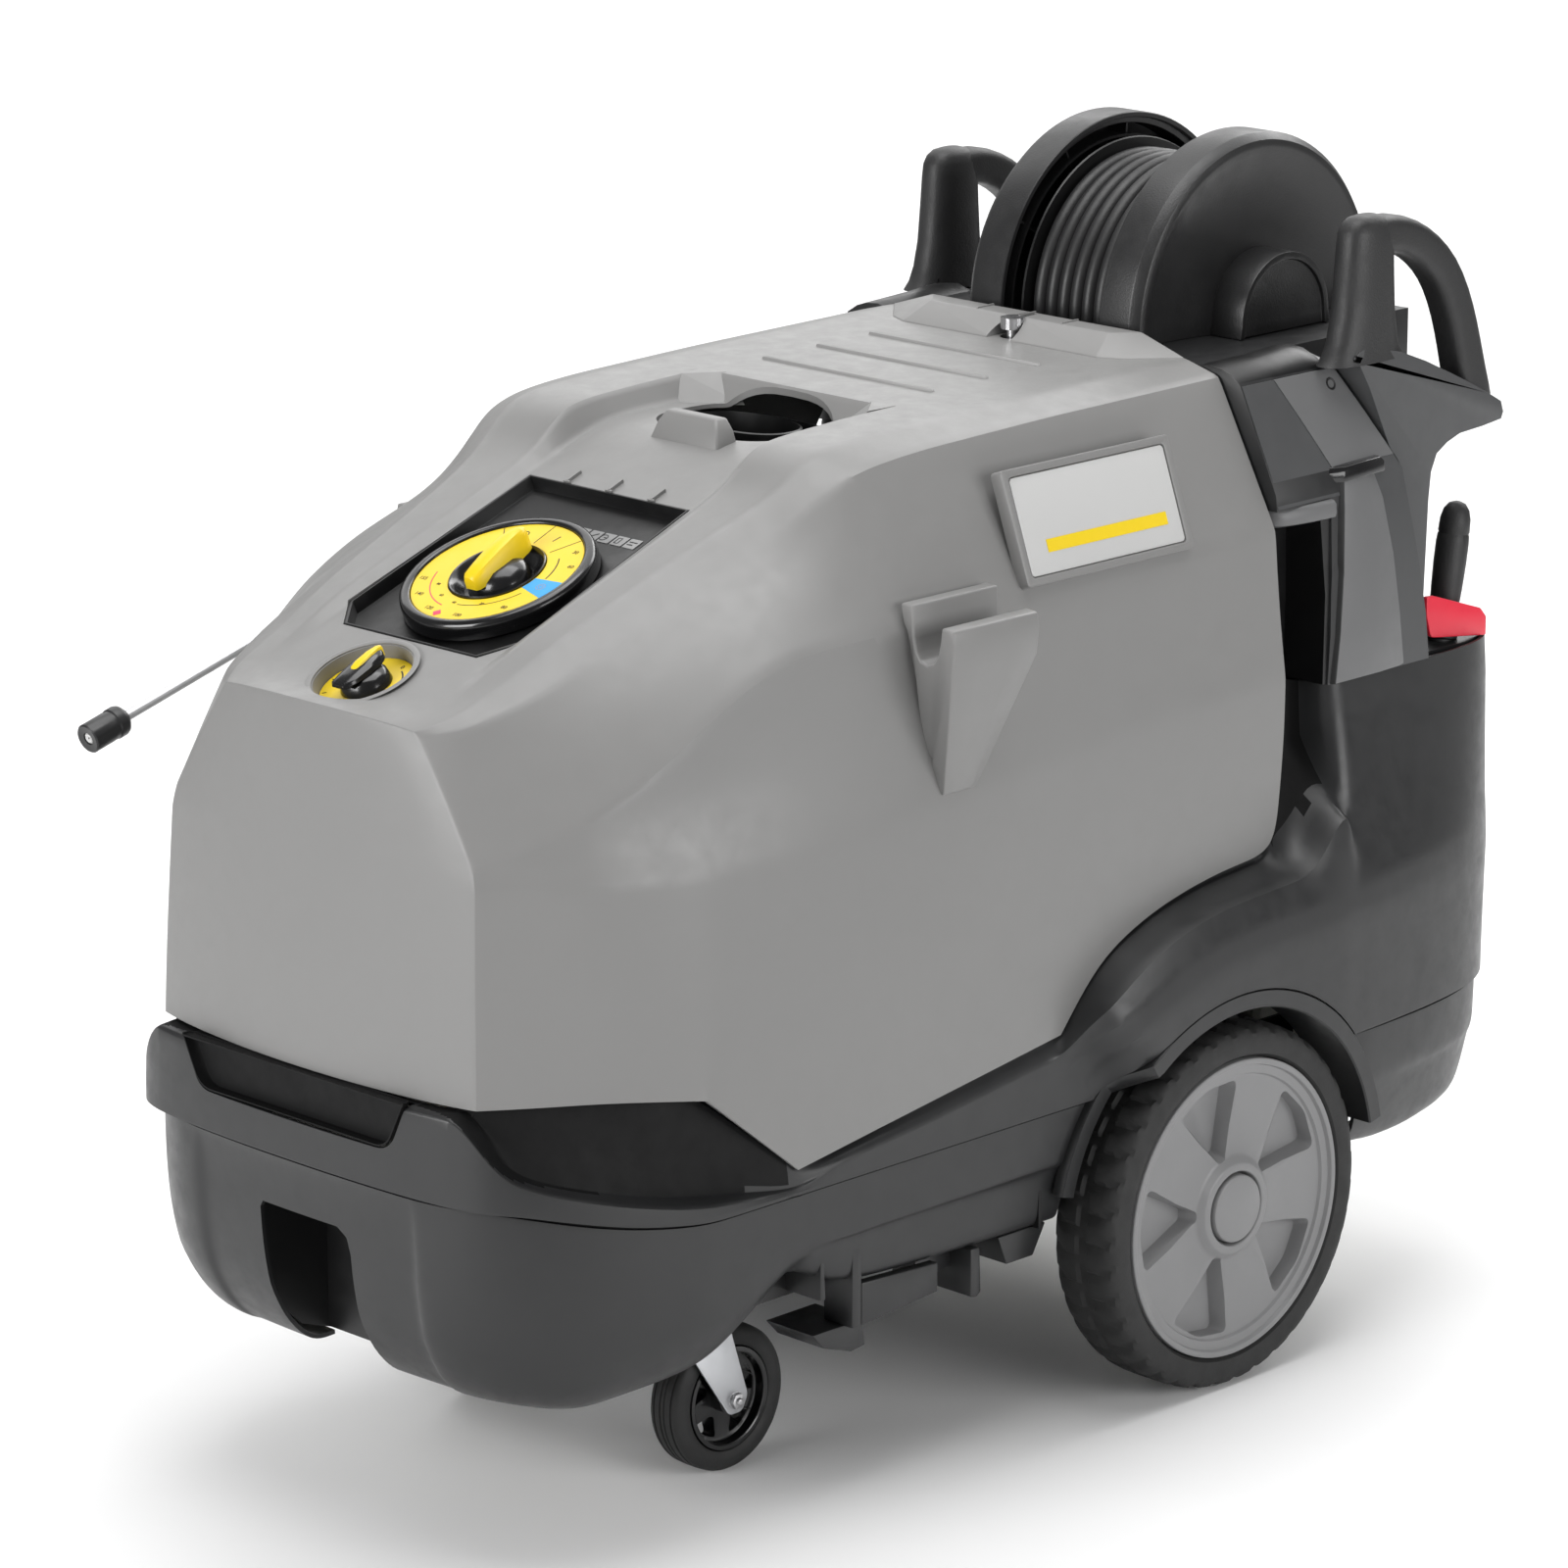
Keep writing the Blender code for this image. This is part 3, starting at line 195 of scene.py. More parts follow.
LOOKS = {
    # key: name, slot in the record, colour, roughness, and what differs from the plain moulding
    "hood": ("hood_plastic", "hood_grey_plastic", (0.205, 0.203, 0.200), 0.40,
        dict(grain=900, bump=0.16, mottle=0.025)),
    "shell": ("shell_plastic", "dark_grey_plastic", (0.0155, 0.0158, 0.0165), 0.38,
        dict(grain=850, bump=0.22)),
    "facet": ("facet_plastic", "dark_grey_plastic", (0.060, 0.061, 0.063), 0.42,
        dict(grain=850, bump=0.2)),
    "light": ("light_grey_plastic", "light_grey_plastic", (0.125, 0.126, 0.128), 0.42,
        dict(grain=850, bump=0.2)),
    # painted shade: near-black, low-specular plastic laid on recesses and gaps that fall into shadow
    "shade": ("recess_painted_shade", "black_plastic", (0.0040, 0.0040, 0.0042), 0.62,
        dict(grain=800, bump=0.25, specular=0.2)),
    "black": ("black_plastic", "black_plastic", (0.0055, 0.0055, 0.0058), 0.38,
        dict(grain=800, bump=0.25)),
    "gloss": ("gloss_black", "black_plastic", (0.0045, 0.0045, 0.0050), 0.22,
        dict(grain=500, bump=0.05, coat=0.3)),
    "rough": ("grained_black", "black_plastic", (0.016, 0.016, 0.0165), 0.50,
        dict(grain=520, bump=0.75, depth=0.0004)),
    "reel": ("reel_plastic", "black_plastic", (0.0165, 0.0165, 0.017), 0.38,
        dict(grain=560, bump=0.6, depth=0.0003)),
    "rubber": ("tyre_rubber", "black_rubber", (0.012, 0.012, 0.012), 0.66,
        dict(grain=420, bump=0.5, mottle=0.15)),
    "hose": ("hose_rubber", "black_rubber", (0.017, 0.017, 0.0175), 0.45,
        dict(grain=600, bump=0.4, mottle=0.1)),
    "rim": ("rim_plastic", "light_grey_plastic", (0.200, 0.200, 0.203), 0.42,
        dict(grain=800, bump=0.2, mottle=0.03)),
    "yellow": ("yellow_plastic", "yellow_plastic", (0.78, 0.56, 0.008), 0.36,
        dict(grain=900, bump=0.08, mottle=0.03)),
    "print": ("printed_black", "black_plastic", (0.012, 0.012, 0.012), 0.5,
        dict(grain=900, bump=0.1)),
    "pale": ("printed_grey", "light_grey_plastic", (0.28, 0.28, 0.28), 0.5,
        dict(grain=900, bump=0.1)),
    "blue": ("printed_blue", "white_plate", (0.02, 0.32, 0.72), 0.4,
        dict(grain=900, bump=0.08)),
    "pink": ("printed_red", "red_plastic", (0.75, 0.03, 0.10), 0.4,
        dict(grain=900, bump=0.08)),
    "red": ("red_plastic", "red_plastic", (0.72, 0.022, 0.05), 0.38,
        dict(grain=800, bump=0.12, mottle=0.04)),
    "white": ("white_plate", "white_plate", (0.50, 0.50, 0.495), 0.3,
        dict(grain=600, bump=0.08, mottle=0.02, vary=0.02)),
    "steel": ("brushed_steel", "steel", (0.56, 0.56, 0.57), 0.30,
        dict(grain=300, bump=0.15, streak=14.0, metallic=1.0)),
    "tube": ("lance_steel", "steel", (0.64, 0.64, 0.65), 0.34,
        dict(grain=300, bump=0.1, streak=14.0, metallic=0.55)),
    "zinc": ("zinc_plated", "zinc_plated_steel", (0.66, 0.67, 0.69), 0.36,
        dict(grain=260, bump=0.35, mottle=0.12, metallic=1.0)),
    "cast": ("cast_aluminium", "cast_aluminium", (0.44, 0.44, 0.45), 0.5,
        dict(grain=240, bump=0.6, mottle=0.1, metallic=1.0)),
    "painted": ("painted_steel", "painted_steel", (0.045, 0.046, 0.050), 0.45,
        dict(grain=350, bump=0.3)),
    "tank": ("tank_plastic", "tank_plastic", (0.60, 0.60, 0.55), 0.45,
        dict(grain=400, bump=0.2)),
    "brass": ("machined_brass", "brass", (0.62, 0.45, 0.19), 0.28,
        dict(grain=280, bump=0.2, metallic=1.0)),
}


def build_looks():
    return {key: moulded(name, colour, rough, **more)
            for key, (name, _, colour, rough, more) in LOOKS.items()}


# ---------------------------------------------------------------- mesh helpers

def add_mesh(name, source):
    """A new object from a bmesh, which is freed, or from a mesh."""
    if isinstance(source, bmesh.types.BMesh):
        mesh = bpy.data.meshes.new(name)
        source.to_mesh(mesh)
        source.free()
    else:
        mesh = source
        mesh.name = name
    obj = bpy.data.objects.new(name, mesh)
    bpy.context.scene.collection.objects.link(obj)
    return obj


def applied(obj):
    """The object's mesh with its modifiers applied."""
    graph = bpy.context.evaluated_depsgraph_get()
    graph.update()
    mesh = bpy.data.meshes.new_from_object(obj.evaluated_get(graph))
    obj.modifiers.clear()
    old = obj.data
    obj.data = mesh
    bpy.data.meshes.remove(old)
    return obj


def curve_mesh(data):
    """Mesh of a curve or text, whose own object is removed."""
    obj = bpy.data.objects.new("outline", data)
    bpy.context.scene.collection.objects.link(obj)
    graph = bpy.context.evaluated_depsgraph_get()
    mesh = bpy.data.meshes.new_from_object(obj.evaluated_get(graph))
    bpy.data.objects.remove(obj)
    return mesh


CAD_FINISHES = {
    "hood_lock": "steel", "lance_tube": "tube", "lance_connector": "brass", "reel_shaft": "steel",
    "rear_axle": "steel", "axle_carrier": "painted", "caster_plate_left": "zinc",
    "caster_plate_right": "zinc",
    "motor": "cast", "pump": "brass", "boiler": "painted", "burner_fan": "cast", "fuel_tank": "tank",
    "water_tank": "tank", "control_box": "black", "control_post": "zinc",
}


def dress_cad(looks):
    """Finishes for the CAD bodies that show as they are."""
    for name, key in CAD_FINISHES.items():
        for holder in nodes[name].material_slots:
            holder.link = "OBJECT"
            holder.material = looks[key]


def finish_piece(obj, look, body, gone=(), angle=32.0):
    """Shades the piece smooth between its hard edges and sets it on its body."""
    mesh = obj.data
    for face in mesh.polygons:
        face.use_smooth = True
    mesh.set_sharp_from_angle(angle=math.radians(angle))
    if look is not None:
        mesh.materials.clear()
        mesh.materials.append(look)
    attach(obj, body)
    if gone:
        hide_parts(*gone)
    return obj


def bevelled(obj, width, segments=3, angle=35.0):
    mod = obj.modifiers.new("bevel", "BEVEL")
    mod.width = width
    mod.segments = segments
    mod.limit_method = "ANGLE"
    mod.angle_limit = math.radians(angle)
    return applied(obj)


def cut(obj, *tools, operation="DIFFERENCE", solver="EXACT"):
    """Applies each tool mesh to the object as a boolean."""
    for tool in tools:
        helper = add_mesh("tool", tool)
        mod = obj.modifiers.new("cut", "BOOLEAN")
        mod.operation = operation
        mod.solver = solver
        mod.object = helper
        applied(obj)
        bpy.data.objects.remove(helper)
    return obj


PLANES = {
    "XY": Matrix.Identity(4),
    "XZ": Matrix(((1, 0, 0, 0), (0, 0, 1, 0), (0, 1, 0, 0), (0, 0, 0, 1))),
    "YZ": Matrix(((0, 0, 1, 0), (1, 0, 0, 0), (0, 1, 0, 0), (0, 0, 0, 1))),
}


def plate(plane, outline, low, high):
    """A prism: its outline in the named plane, its thickness along the third axis."""
    bm = bmesh.new()
    verts = [bm.verts.new((a, b, low)) for a, b in outline]
    face = bm.faces.new(verts)
    grown = bmesh.ops.extrude_face_region(bm, geom=[face])
    top = [v for v in grown["geom"] if isinstance(v, bmesh.types.BMVert)]
    bmesh.ops.translate(bm, verts=top, vec=(0, 0, high - low))
    bmesh.ops.transform(bm, matrix=PLANES[plane], verts=bm.verts)
    bmesh.ops.recalc_face_normals(bm, faces=bm.faces)
    return bm


def placed(bm, place):
    bmesh.ops.transform(bm, matrix=place, verts=bm.verts)
    return bm


def side_plate(side, outline, x0, x1):
    """A prism across X on one side of the machine, from x0 out to x1; its outline is in (y, z)."""
    return plate("YZ", outline, *sorted((side * x0, side * x1)))


def circle(radius, steps, centre=(0, 0), points=None):
    """Points round a circle in even steps; one more point than steps closes it."""
    return [(centre[0] + radius * math.cos(math.tau * i / steps),
             centre[1] + radius * math.sin(math.tau * i / steps))
            for i in range(points or steps)]


def block(low, high):
    return plate("XY", [(low[0], low[1]), (high[0], low[1]), (high[0], high[1]), (low[0], high[1])],
                 low[2], high[2])


def side_block(side, low, high):
    """A block on one side of the machine, from x = low[0] out to x = high[0]."""
    x0, x1 = sorted((side * low[0], side * high[0]))
    return block((x0, *low[1:]), (x1, *high[1:]))


def turn_to(axis):
    """Turn that takes local Z to the given axis."""
    return Vector((0, 0, 1)).rotation_difference(Vector(axis)).to_matrix().to_4x4()


def rod(start, end, radius, sides=32, end_radius=None):
    start, end = Vector(start), Vector(end)
    bm = bmesh.new()
    bmesh.ops.create_cone(bm, cap_ends=True, segments=sides, radius1=radius,
                          radius2=radius if end_radius is None else end_radius, depth=(end - start).length)
    place = Matrix.Translation((start + end) / 2) @ turn_to((end - start).normalized())
    bmesh.ops.transform(bm, matrix=place, verts=bm.verts)
    return bm


def spun(profile, place, steps=64, closed=True, sweep=math.tau):
    """A profile of (radius, height) points turned about local Z."""
    bm = bmesh.new()
    full = abs(sweep - math.tau) < 1e-6
    rings = []
    count = steps if full else steps + 1
    for i in range(count):
        a = sweep * i / steps
        rings.append([bm.verts.new((r * math.cos(a), r * math.sin(a), h)) for r, h in profile])
    size = len(profile)
    spans = size if closed else size - 1
    for i in range(steps):
        one, two = rings[i], rings[(i + 1) % count]
        for j in range(spans):
            k = (j + 1) % size
            quad = [one[j], two[j], two[k], one[k]]
            bm.faces.new(quad)
    bmesh.ops.remove_doubles(bm, verts=bm.verts, dist=1e-6)
    if not full and closed:
        for ring in (rings[0], rings[-1]):
            bm.faces.new(ring)
    bmesh.ops.transform(bm, matrix=place, verts=bm.verts)
    bmesh.ops.recalc_face_normals(bm, faces=bm.faces)
    return bm


def merge(*parts):
    """Several bmeshes as one; the sources are freed."""
    total = bmesh.new()
    for source in parts:
        mesh = bpy.data.meshes.new("piece")
        source.to_mesh(mesh)
        source.free()
        total.from_mesh(mesh)
        bpy.data.meshes.remove(mesh)
    return total


def grid(rows, close=False, ring=False):
    """A surface through rows of points, all the same length; a ring joins its last row to its first."""
    bm = bmesh.new()
    made = [[bm.verts.new(p) for p in row] for row in rows]
    for one, two in zip(made, made[1:] + made[:1] if ring else made[1:]):
        size = len(one)
        for j in range(size if close else size - 1):
            k = (j + 1) % size
            bm.faces.new((one[j], one[k], two[k], two[j]))
    return bm


def loft(rows):
    """A closed body through rings of points, capped at both ends."""
    bm = grid(rows, close=True)
    bm.verts.ensure_lookup_table()
    size = len(rows[0])
    bm.faces.new([bm.verts[i] for i in range(size)])
    bm.faces.new([bm.verts[len(bm.verts) - size + i] for i in range(size)])
    bmesh.ops.recalc_face_normals(bm, faces=bm.faces)
    return bm


def lerp_table(table, t):
    """Value at t in a table of (t, value) pairs; values are numbers or tuples."""
    if t <= table[0][0]:
        return table[0][1]
    for (a, va), (b, vb) in zip(table, table[1:]):
        if t <= b:
            f = (t - a) / (b - a)
            if isinstance(va, tuple):
                return tuple(p + (q - p) * f for p, q in zip(va, vb))
            return va + (vb - va) * f
    return table[-1][1]


def rounded(half_x, half_y, radius, steps=6, centre=(0, 0)):
    """Outline of a rectangle with round corners."""
    points = []
    for sx, sy, start in ((1, 1, 0), (-1, 1, 90), (-1, -1, 180), (1, -1, 270)):
        for i in range(steps + 1):
            a = math.radians(start + 90 * i / steps)
            points.append((centre[0] + sx * (half_x - radius) + radius * math.cos(a),
                           centre[1] + sy * (half_y - radius) + radius * math.sin(a)))
    return points


def solidified(obj, thickness, offset=-1.0):
    mod = obj.modifiers.new("wall", "SOLIDIFY")
    mod.thickness = thickness
    mod.offset = offset
    mod.use_even_offset = True
    return applied(obj)


# ---------------------------------------------------------------- shared measures

SLOPE = math.atan2(0.136, 0.350)
PANEL = (0.0, -0.396, 0.8465)
DIAL = (0.0, -0.4109, 0.8407)
SMALL_DIAL = (0.0, -0.573, 0.778)
SHELF = .652


def on_slope(place):
    """Frame with local Z square to the sloping front and local Y up the slope."""
    return Matrix.Translation(place) @ Matrix.Rotation(SLOPE, 4, "X")


def slope_z(y):
    """Height of the sloping front."""
    return 0.756 + 0.3886 * (y + 0.623)


# ---------------------------------------------------------------- hood

STATIONS = (-.600, -.568, -.535, -.495, -.457, -.425, -.385, -.344, -.305, -.273, -.245, -.218, -.190, -.150,
            -.100, -.066, -.052, -.034, -.001, .035, .070, .133, .205, .250, .295)
EDGE_X = [(-.635, .2075), (-.620, .219), (-.608, .228), (-.594, .237), (-.580, .246), (-.530, .272),
          (-.489, .295), (-.457, .311), (.300, .312)]
EDGE_Z = [(-.635, .436), (-.580, .436), (-.530, .434), (-.489, .431), (-.457, .428), (-.400, .383),
          (-.344, .338), (-.240, .353), (-.120, .370), (-.001, .387), (.035, .430), (.070, .458),
          (.133, .483), (.205, .497), (.295, .505)]
BELT = [(-.623, (.2005, .629)), (-.543, (.268, .629)), (-.452, (.300, .627)), (-.354, (.312, .627)),
        (-.248, (.318, .635)), (-.128, (.322, .646)), (-.024, (.322, .656)), (.121, (.322, .665)),
        (.300, (.322, .674))]
UPPER = [(-.623, (.199, .649)), (-.583, (.226, .661)), (-.539, (.251, .683)), (-.494, (.267, .707)),
         (-.452, (.279, .738)), (-.399, (.288, .774)), (-.364, (.294, .793)), (-.332, (.297, .800)),
         (-.274, (.302, .804)), (-.203, (.305, .805)), (-.090, (.305, .808)), (.060, (.306, .814)),
         (.300, (.306, .813))]
BAND_IN = [(-.617, (.137, .758)), (-.530, (.147, .792)), (-.490, (.153, .814)), (-.400, (.160, .851)),
           (-.320, (.168, .883)), (-.270, (.178, .904)), (-.240, (.186, .922)), (-.214, (.190, .943)),
           (-.190, (.190, .9475)), (-.110, (.190, .952)), (.060, (.190, .956)), (.300, (.190, .961))]
BAND_OUT = [(-.600, (.156, .758)), (-.530, (.179, .782)), (-.450, (.189, .814)), (-.400, (.193, .834)),
            (-.320, (.200, .864)), (-.270, (.210, .886)), (-.235, (.222, .910)), (-.205, (.230, .931)),
            (-.150, (.232, .939)), (-.110, (.232, .942)), (.060, (.232, .947)), (.300, (.232, .950))]
DECK_RISE = [(-.218, .9435), (-.190, .9475), (-.110, .952), (.060, .956), (.300, .961)]


def top_height(y, x):
    """Height of the hood's top: window plane, raised side rails, sunken deck and deck."""
    plane = slope_z(y)
    rail = lerp_table([(-.560, 0.0), (-.500, .009), (-.250, .009), (-.214, .030), (.3, .030)], y)
    high = min(plane + rail, lerp_table(DECK_RISE, y)) if y > -.26 else plane + rail
    low = plane if y < -.185 else min(plane, .9305)
    if y > -.045:
        low = high
    if x < .11:
        return low
    return high


def hood_line(y):
    """One station of the hood's half section, from the centre plane to the lower edge."""
    rail_x = .122
    bin_x, bin_z = lerp_table(BAND_IN, y)
    bout_x, bout_z = lerp_table(BAND_OUT, y)
    up_x, up_z = lerp_table(UPPER, y)
    belt_x, belt_z = lerp_table(BELT, y)
    edge_x = lerp_table(EDGE_X, y)
    edge_z = lerp_table(EDGE_Z, y)
    scoop = lerp_table([(-.62, 0.0), (-.50, .006), (-.42, .012), (-.36, .011), (-.28, .006), (-.1, .003),
                        (.3, .002)], y)
    belly = lerp_table([(-.62, .0), (-.5, .002), (-.3, .004), (.3, .003)], y)
    mid_x, mid_z = (up_x + belt_x) / 2 - scoop, (up_z + belt_z) / 2
    face_x, face_z = (bout_x + up_x) / 2, (bout_z + up_z) / 2
    swell = lerp_table([(-.62, .0), (-.5, .006), (-.35, .012), (-.25, .004), (-.2, .0), (.3, .0)], y)
    return [
        (0, y, top_height(y, 0)), (.060, y, top_height(y, .06)), (.1065, y, top_height(y, .1065)),
        (rail_x, y, top_height(y, rail_x)), (bin_x, y, bin_z), (bout_x, y, bout_z),
        (face_x + swell * .4, y, face_z + swell * .6), (up_x, y, up_z),
        (mid_x, y, mid_z), (belt_x, y, belt_z),
        (belt_x + (edge_x - belt_x) * .33 + belly, y, belt_z + (edge_z - belt_z) * .33),
        (belt_x + (edge_x - belt_x) * .70 + belly * .7, y, belt_z + (edge_z - belt_z) * .70),
        (edge_x, y, edge_z),
    ]


CORNER = [(.000, -.640, .765), (.055, -.637, .764), (.098, -.630, .7605), (.113, -.627, .7585),
          (.124, -.6245, .757), (.130, -.6235, .751), (.165, -.6235, .700), (.1955, -.6245, .650),
          (.1985, -.6255, .640), (.2005, -.6265, .629), (.203, -.630, .565), (.206, -.633, .495),
          (.2075, -.635, .436)]
FRONT_Y = -.640
FRONT_TOP_Z = .765
HARD_LINES = {2: .5, 3: .75, 4: .55, 5: .6, 7: .72, 9: .82}


def hood_cage():
    """Control mesh of the hood's right half: the stations, then the front face down from its corner."""
    rows = [CORNER] + [hood_line(y) for y in STATIONS]
    bm = grid(rows)
    crease = bm.edges.layers.float.new("crease_edge")
    point = bm.verts.layers.float.new("crease_vert")
    verts = list(bm.verts)
    size = len(CORNER)

    def at(i, j):
        return verts[i * size + j]

    def harden(a, b, value):
        edge = bm.edges.get((a, b))
        if edge is not None:
            edge[crease] = value

    for i in range(len(rows) - 1):
        for j, value in HARD_LINES.items():
            fade = lerp_table([(0, .9), (3, 1.0), (30, 1.0)], i)
            harden(at(i, j), at(i + 1, j), value * fade)
    for j in range(size - 1):
        harden(at(0, j), at(0, j + 1), .8)
    wall_rows = [1 + STATIONS.index(y) for y in (-.052, -.034)]
    for i in wall_rows:
        for j in range(3):
            harden(at(i, j), at(i, j + 1), .85)
    for y in (-.457, -.344, -.001):
        at(1 + STATIONS.index(y), size - 1)[point] = 1.0
    above = [at(0, k) for k in range(5)]
    for j in range(5, size):
        x, y, z = CORNER[j]
        deep = FRONT_Y - .019 * (FRONT_TOP_Z - z) / .329
        lift = .008 * max(0.0, (z - .6) / .16)
        below = [bm.verts.new((x * a, deep + (y - deep) * b, z + lift * (1 - b)))
                 for a, b in ((0, 0), (.44, .16), (.78, .55), (.91, .80))] + [at(0, j)]
        for k in range(4):
            bm.faces.new((above[k], above[k + 1], below[k + 1], below[k]))
        harden(above[4], below[4], .86)
        above = below
    bmesh.ops.remove_doubles(bm, verts=bm.verts, dist=1e-5)
    bm.verts.ensure_lookup_table()
    bmesh.ops.recalc_face_normals(bm, faces=bm.faces)
    if sum(face.normal.z for face in bm.faces) < 0:
        bmesh.ops.reverse_faces(bm, faces=bm.faces)
    return bm


def window_outline(grow=0.0):
    """Outline of the control panel's window on the slope: straight top, cut lower corners."""
    top, low, reach = .1045 + grow, .1115 + grow, .1315 + grow
    return [(-top, reach), (top, reach), (low, -reach + .030), (low - .024, -reach), (-low + .024, -reach),
            (-low, -reach + .030)]


def superoval(a, b, power, steps=48, centre=(0, 0)):
    """An oval that grows squarer as its power rises."""
    points = []
    for i in range(steps):
        t = math.tau * i / steps
        c, s = math.cos(t), math.sin(t)
        points.append((centre[0] + a * math.copysign(abs(c) ** (2 / power), c),
                       centre[1] + b * math.copysign(abs(s) ** (2 / power), s)))
    return points


FILLER = superoval(.083, .062, 3.0, centre=(-.002, -.098))


def build_hood(look):
    """Tilting hood with its window, small dial hole, filler opening and screw hole."""
    hood = add_mesh("hood_cover", hood_cage())
    mod = hood.modifiers.new("mirror", "MIRROR")
    mod.merge_threshold = 0.0002
    mod = hood.modifiers.new("smooth", "SUBSURF")
    mod.levels = 3
    mod.render_levels = 3
    applied(hood)
    solidified(hood, .004)
    window = placed(plate("XY", window_outline(), -.05, .05), on_slope(PANEL))
    small = placed(rod((0, 0, -.05), (0, 0, .05), .0475, 64), on_slope(SMALL_DIAL))
    opening = plate("XY", FILLER, .90, 1.0)
    screw = rod((0, .262, .90), (0, .262, 1.0), .0125, 40)
    cut(hood, window, small, opening, screw)
    finish_piece(hood, look["hood"], "hood", ("hood",), angle=24)
    build_deck_details(look)
    for side, label in SIDES:
        build_lance_rest(side, label, look)
        build_badge(side, label, look)


def deck_z(y):
    """Height of the flat middle of the deck."""
    return lerp_table(DECK_RISE, y)


def build_deck_details(look):
    """Ribs, ticks, the raised tab by the filler opening and the rear ledge with its screw recess."""
    ribs = []
    for y in (.035, .108, .180):
        z = deck_z(y)
        section = [(y - .0040, z - .002), (y - .0022, z + .0022), (y + .0022, z + .0022),
                   (y + .0040, z - .002)]
        rows = []
        for x, shrink in ((-.1125, .15), (-.1095, 1), (.1095, 1), (.1125, .15)):
            rows.append([(x, y + (a - y) * shrink, (z - .002) + (b - z + .002) * shrink) for a, b in section])
        ribs.append(loft(rows))
    finish_piece(add_mesh("deck_ribs", merge(*ribs)), look["hood"], "hood", angle=50)

    low = [(-.040, -.186), (.050, -.186), (.050, -.156), (-.040, -.156)]
    mid = [(-.034, -.180), (.044, -.180), (.045, -.158), (-.035, -.158)]
    high = [(-.028, -.173), (.036, -.173), (.038, -.160), (-.030, -.160)]
    rows = [[(x, y, z) for x, y in ring] for ring, z in ((low, .9200), (mid, .9385), (high, .9500))]
    tab = bevelled(add_mesh("deck_tab", loft(rows)), .0028, 3, 20)
    finish_piece(tab, look["hood"], "hood")

    corners = []
    for side in (-1, 1):
        base = [(side * .1210, -.062), (side * .095, -.030), (side * .1250, -.030)]
        foot = [(side * .1130, -.090, .929), (side * .060, -.040, .929), (side * .1250, -.040, .929)]
        bm = bmesh.new()
        top = [bm.verts.new((x, y, deck_z(y) + .0003)) for x, y in base]
        low = [bm.verts.new(p) for p in foot]
        bm.faces.new(top)
        bm.faces.new(low)
        for a in range(3):
            b = (a + 1) % 3
            bm.faces.new((top[a], top[b], low[b], low[a]))
        bmesh.ops.recalc_face_normals(bm, faces=bm.faces)
        corners.append(bm)
    finish_piece(add_mesh("deck_corners", merge(*corners)), look["hood"], "hood")

    ticks = []
    for x in (-.055, 0, .055):
        ticks.append(block((x - .0011, .1318, -.012), (x + .0011, .150, .0009)))
        ticks.append(block((x - .0042, .1306, -.012), (x + .0042, .1322, .0004)))
    finish_piece(add_mesh("window_ticks", placed(merge(*ticks), on_slope(PANEL))), look["hood"], "hood")
    build_ledge(look)


def build_ledge(look):
    """Raised rear edge of the deck with the screw recess and three fine lines."""
    back = .2948
    foot = [(-.190, back), (-.150, .252), (-.126, .241), (.126, .241), (.150, .252), (.190, back)]
    head = [(-.136, back), (-.124, .280), (-.116, .270), (.116, .270), (.124, .280), (.136, back)]
    base = [(x, y, deck_z(y) - .003) for x, y in foot]
    mid = [(x, y, deck_z(y) + .0006) for x, y in foot]
    top = [(x, y, .9785) for x, y in head]
    ledge = bevelled(add_mesh("deck_ledge", loft([base, mid, top])), .003, 3, 15)
    dome = rod((0, .2250, deck_z(.25) + .004), (0, .290, deck_z(.25) + .004), .0160, 48)
    cut(ledge, dome, rod((0, .2620, .90), (0, .2620, deck_z(.25) + .006), .0160, 48))
    finish_piece(ledge, look["hood"], "hood", angle=40)
    lines = []
    for x in (-.055, 0, .055):
        rows = []
        for y, z in ((.2590, .9685), (.2712, .9790), (.2940, .9795)):
            rows.append([(x - .0009, y, z - .003), (x + .0009, y, z - .003), (x + .0009, y, z + .0006),
                         (x - .0009, y, z + .0006)])
        lines.append(loft(rows))
    finish_piece(add_mesh("ledge_lines", merge(*lines)), look["hood"], "hood")


def build_lance_rest(side, label, look):
    """Moulded bracket with an open channel along its length."""
    front = [(.300, .8290), (.3150, .8290), (.3165, .800), (.3195, .788), (.3250, .7800), (.3325, .7770),
             (.3400, .7800), (.3455, .788), (.3480, .800), (.3500, .8145), (.3640, .8130), (.3665, .800),
             (.3640, .775), (.322, .650), (.300, .650)]
    rows = [[(side * x, y, z) for x, z in front] for y in (-.205, -.170, -.130, -.095)]
    rest = bevelled(add_mesh("lance_bracket_" + label, loft(rows)), .0022, 3, 28)
    centre, taper_top, taper_height, taper = -.150, .775, .125, .62
    for vert in rest.data.vertices:
        deep = max(0.0, (taper_top - vert.co.z) / taper_height)
        vert.co.y = centre + (vert.co.y - centre) * (1 - deep * taper)
    finish_piece(rest, look["hood"], "hood", ("lance_rest_" + label,), angle=34)


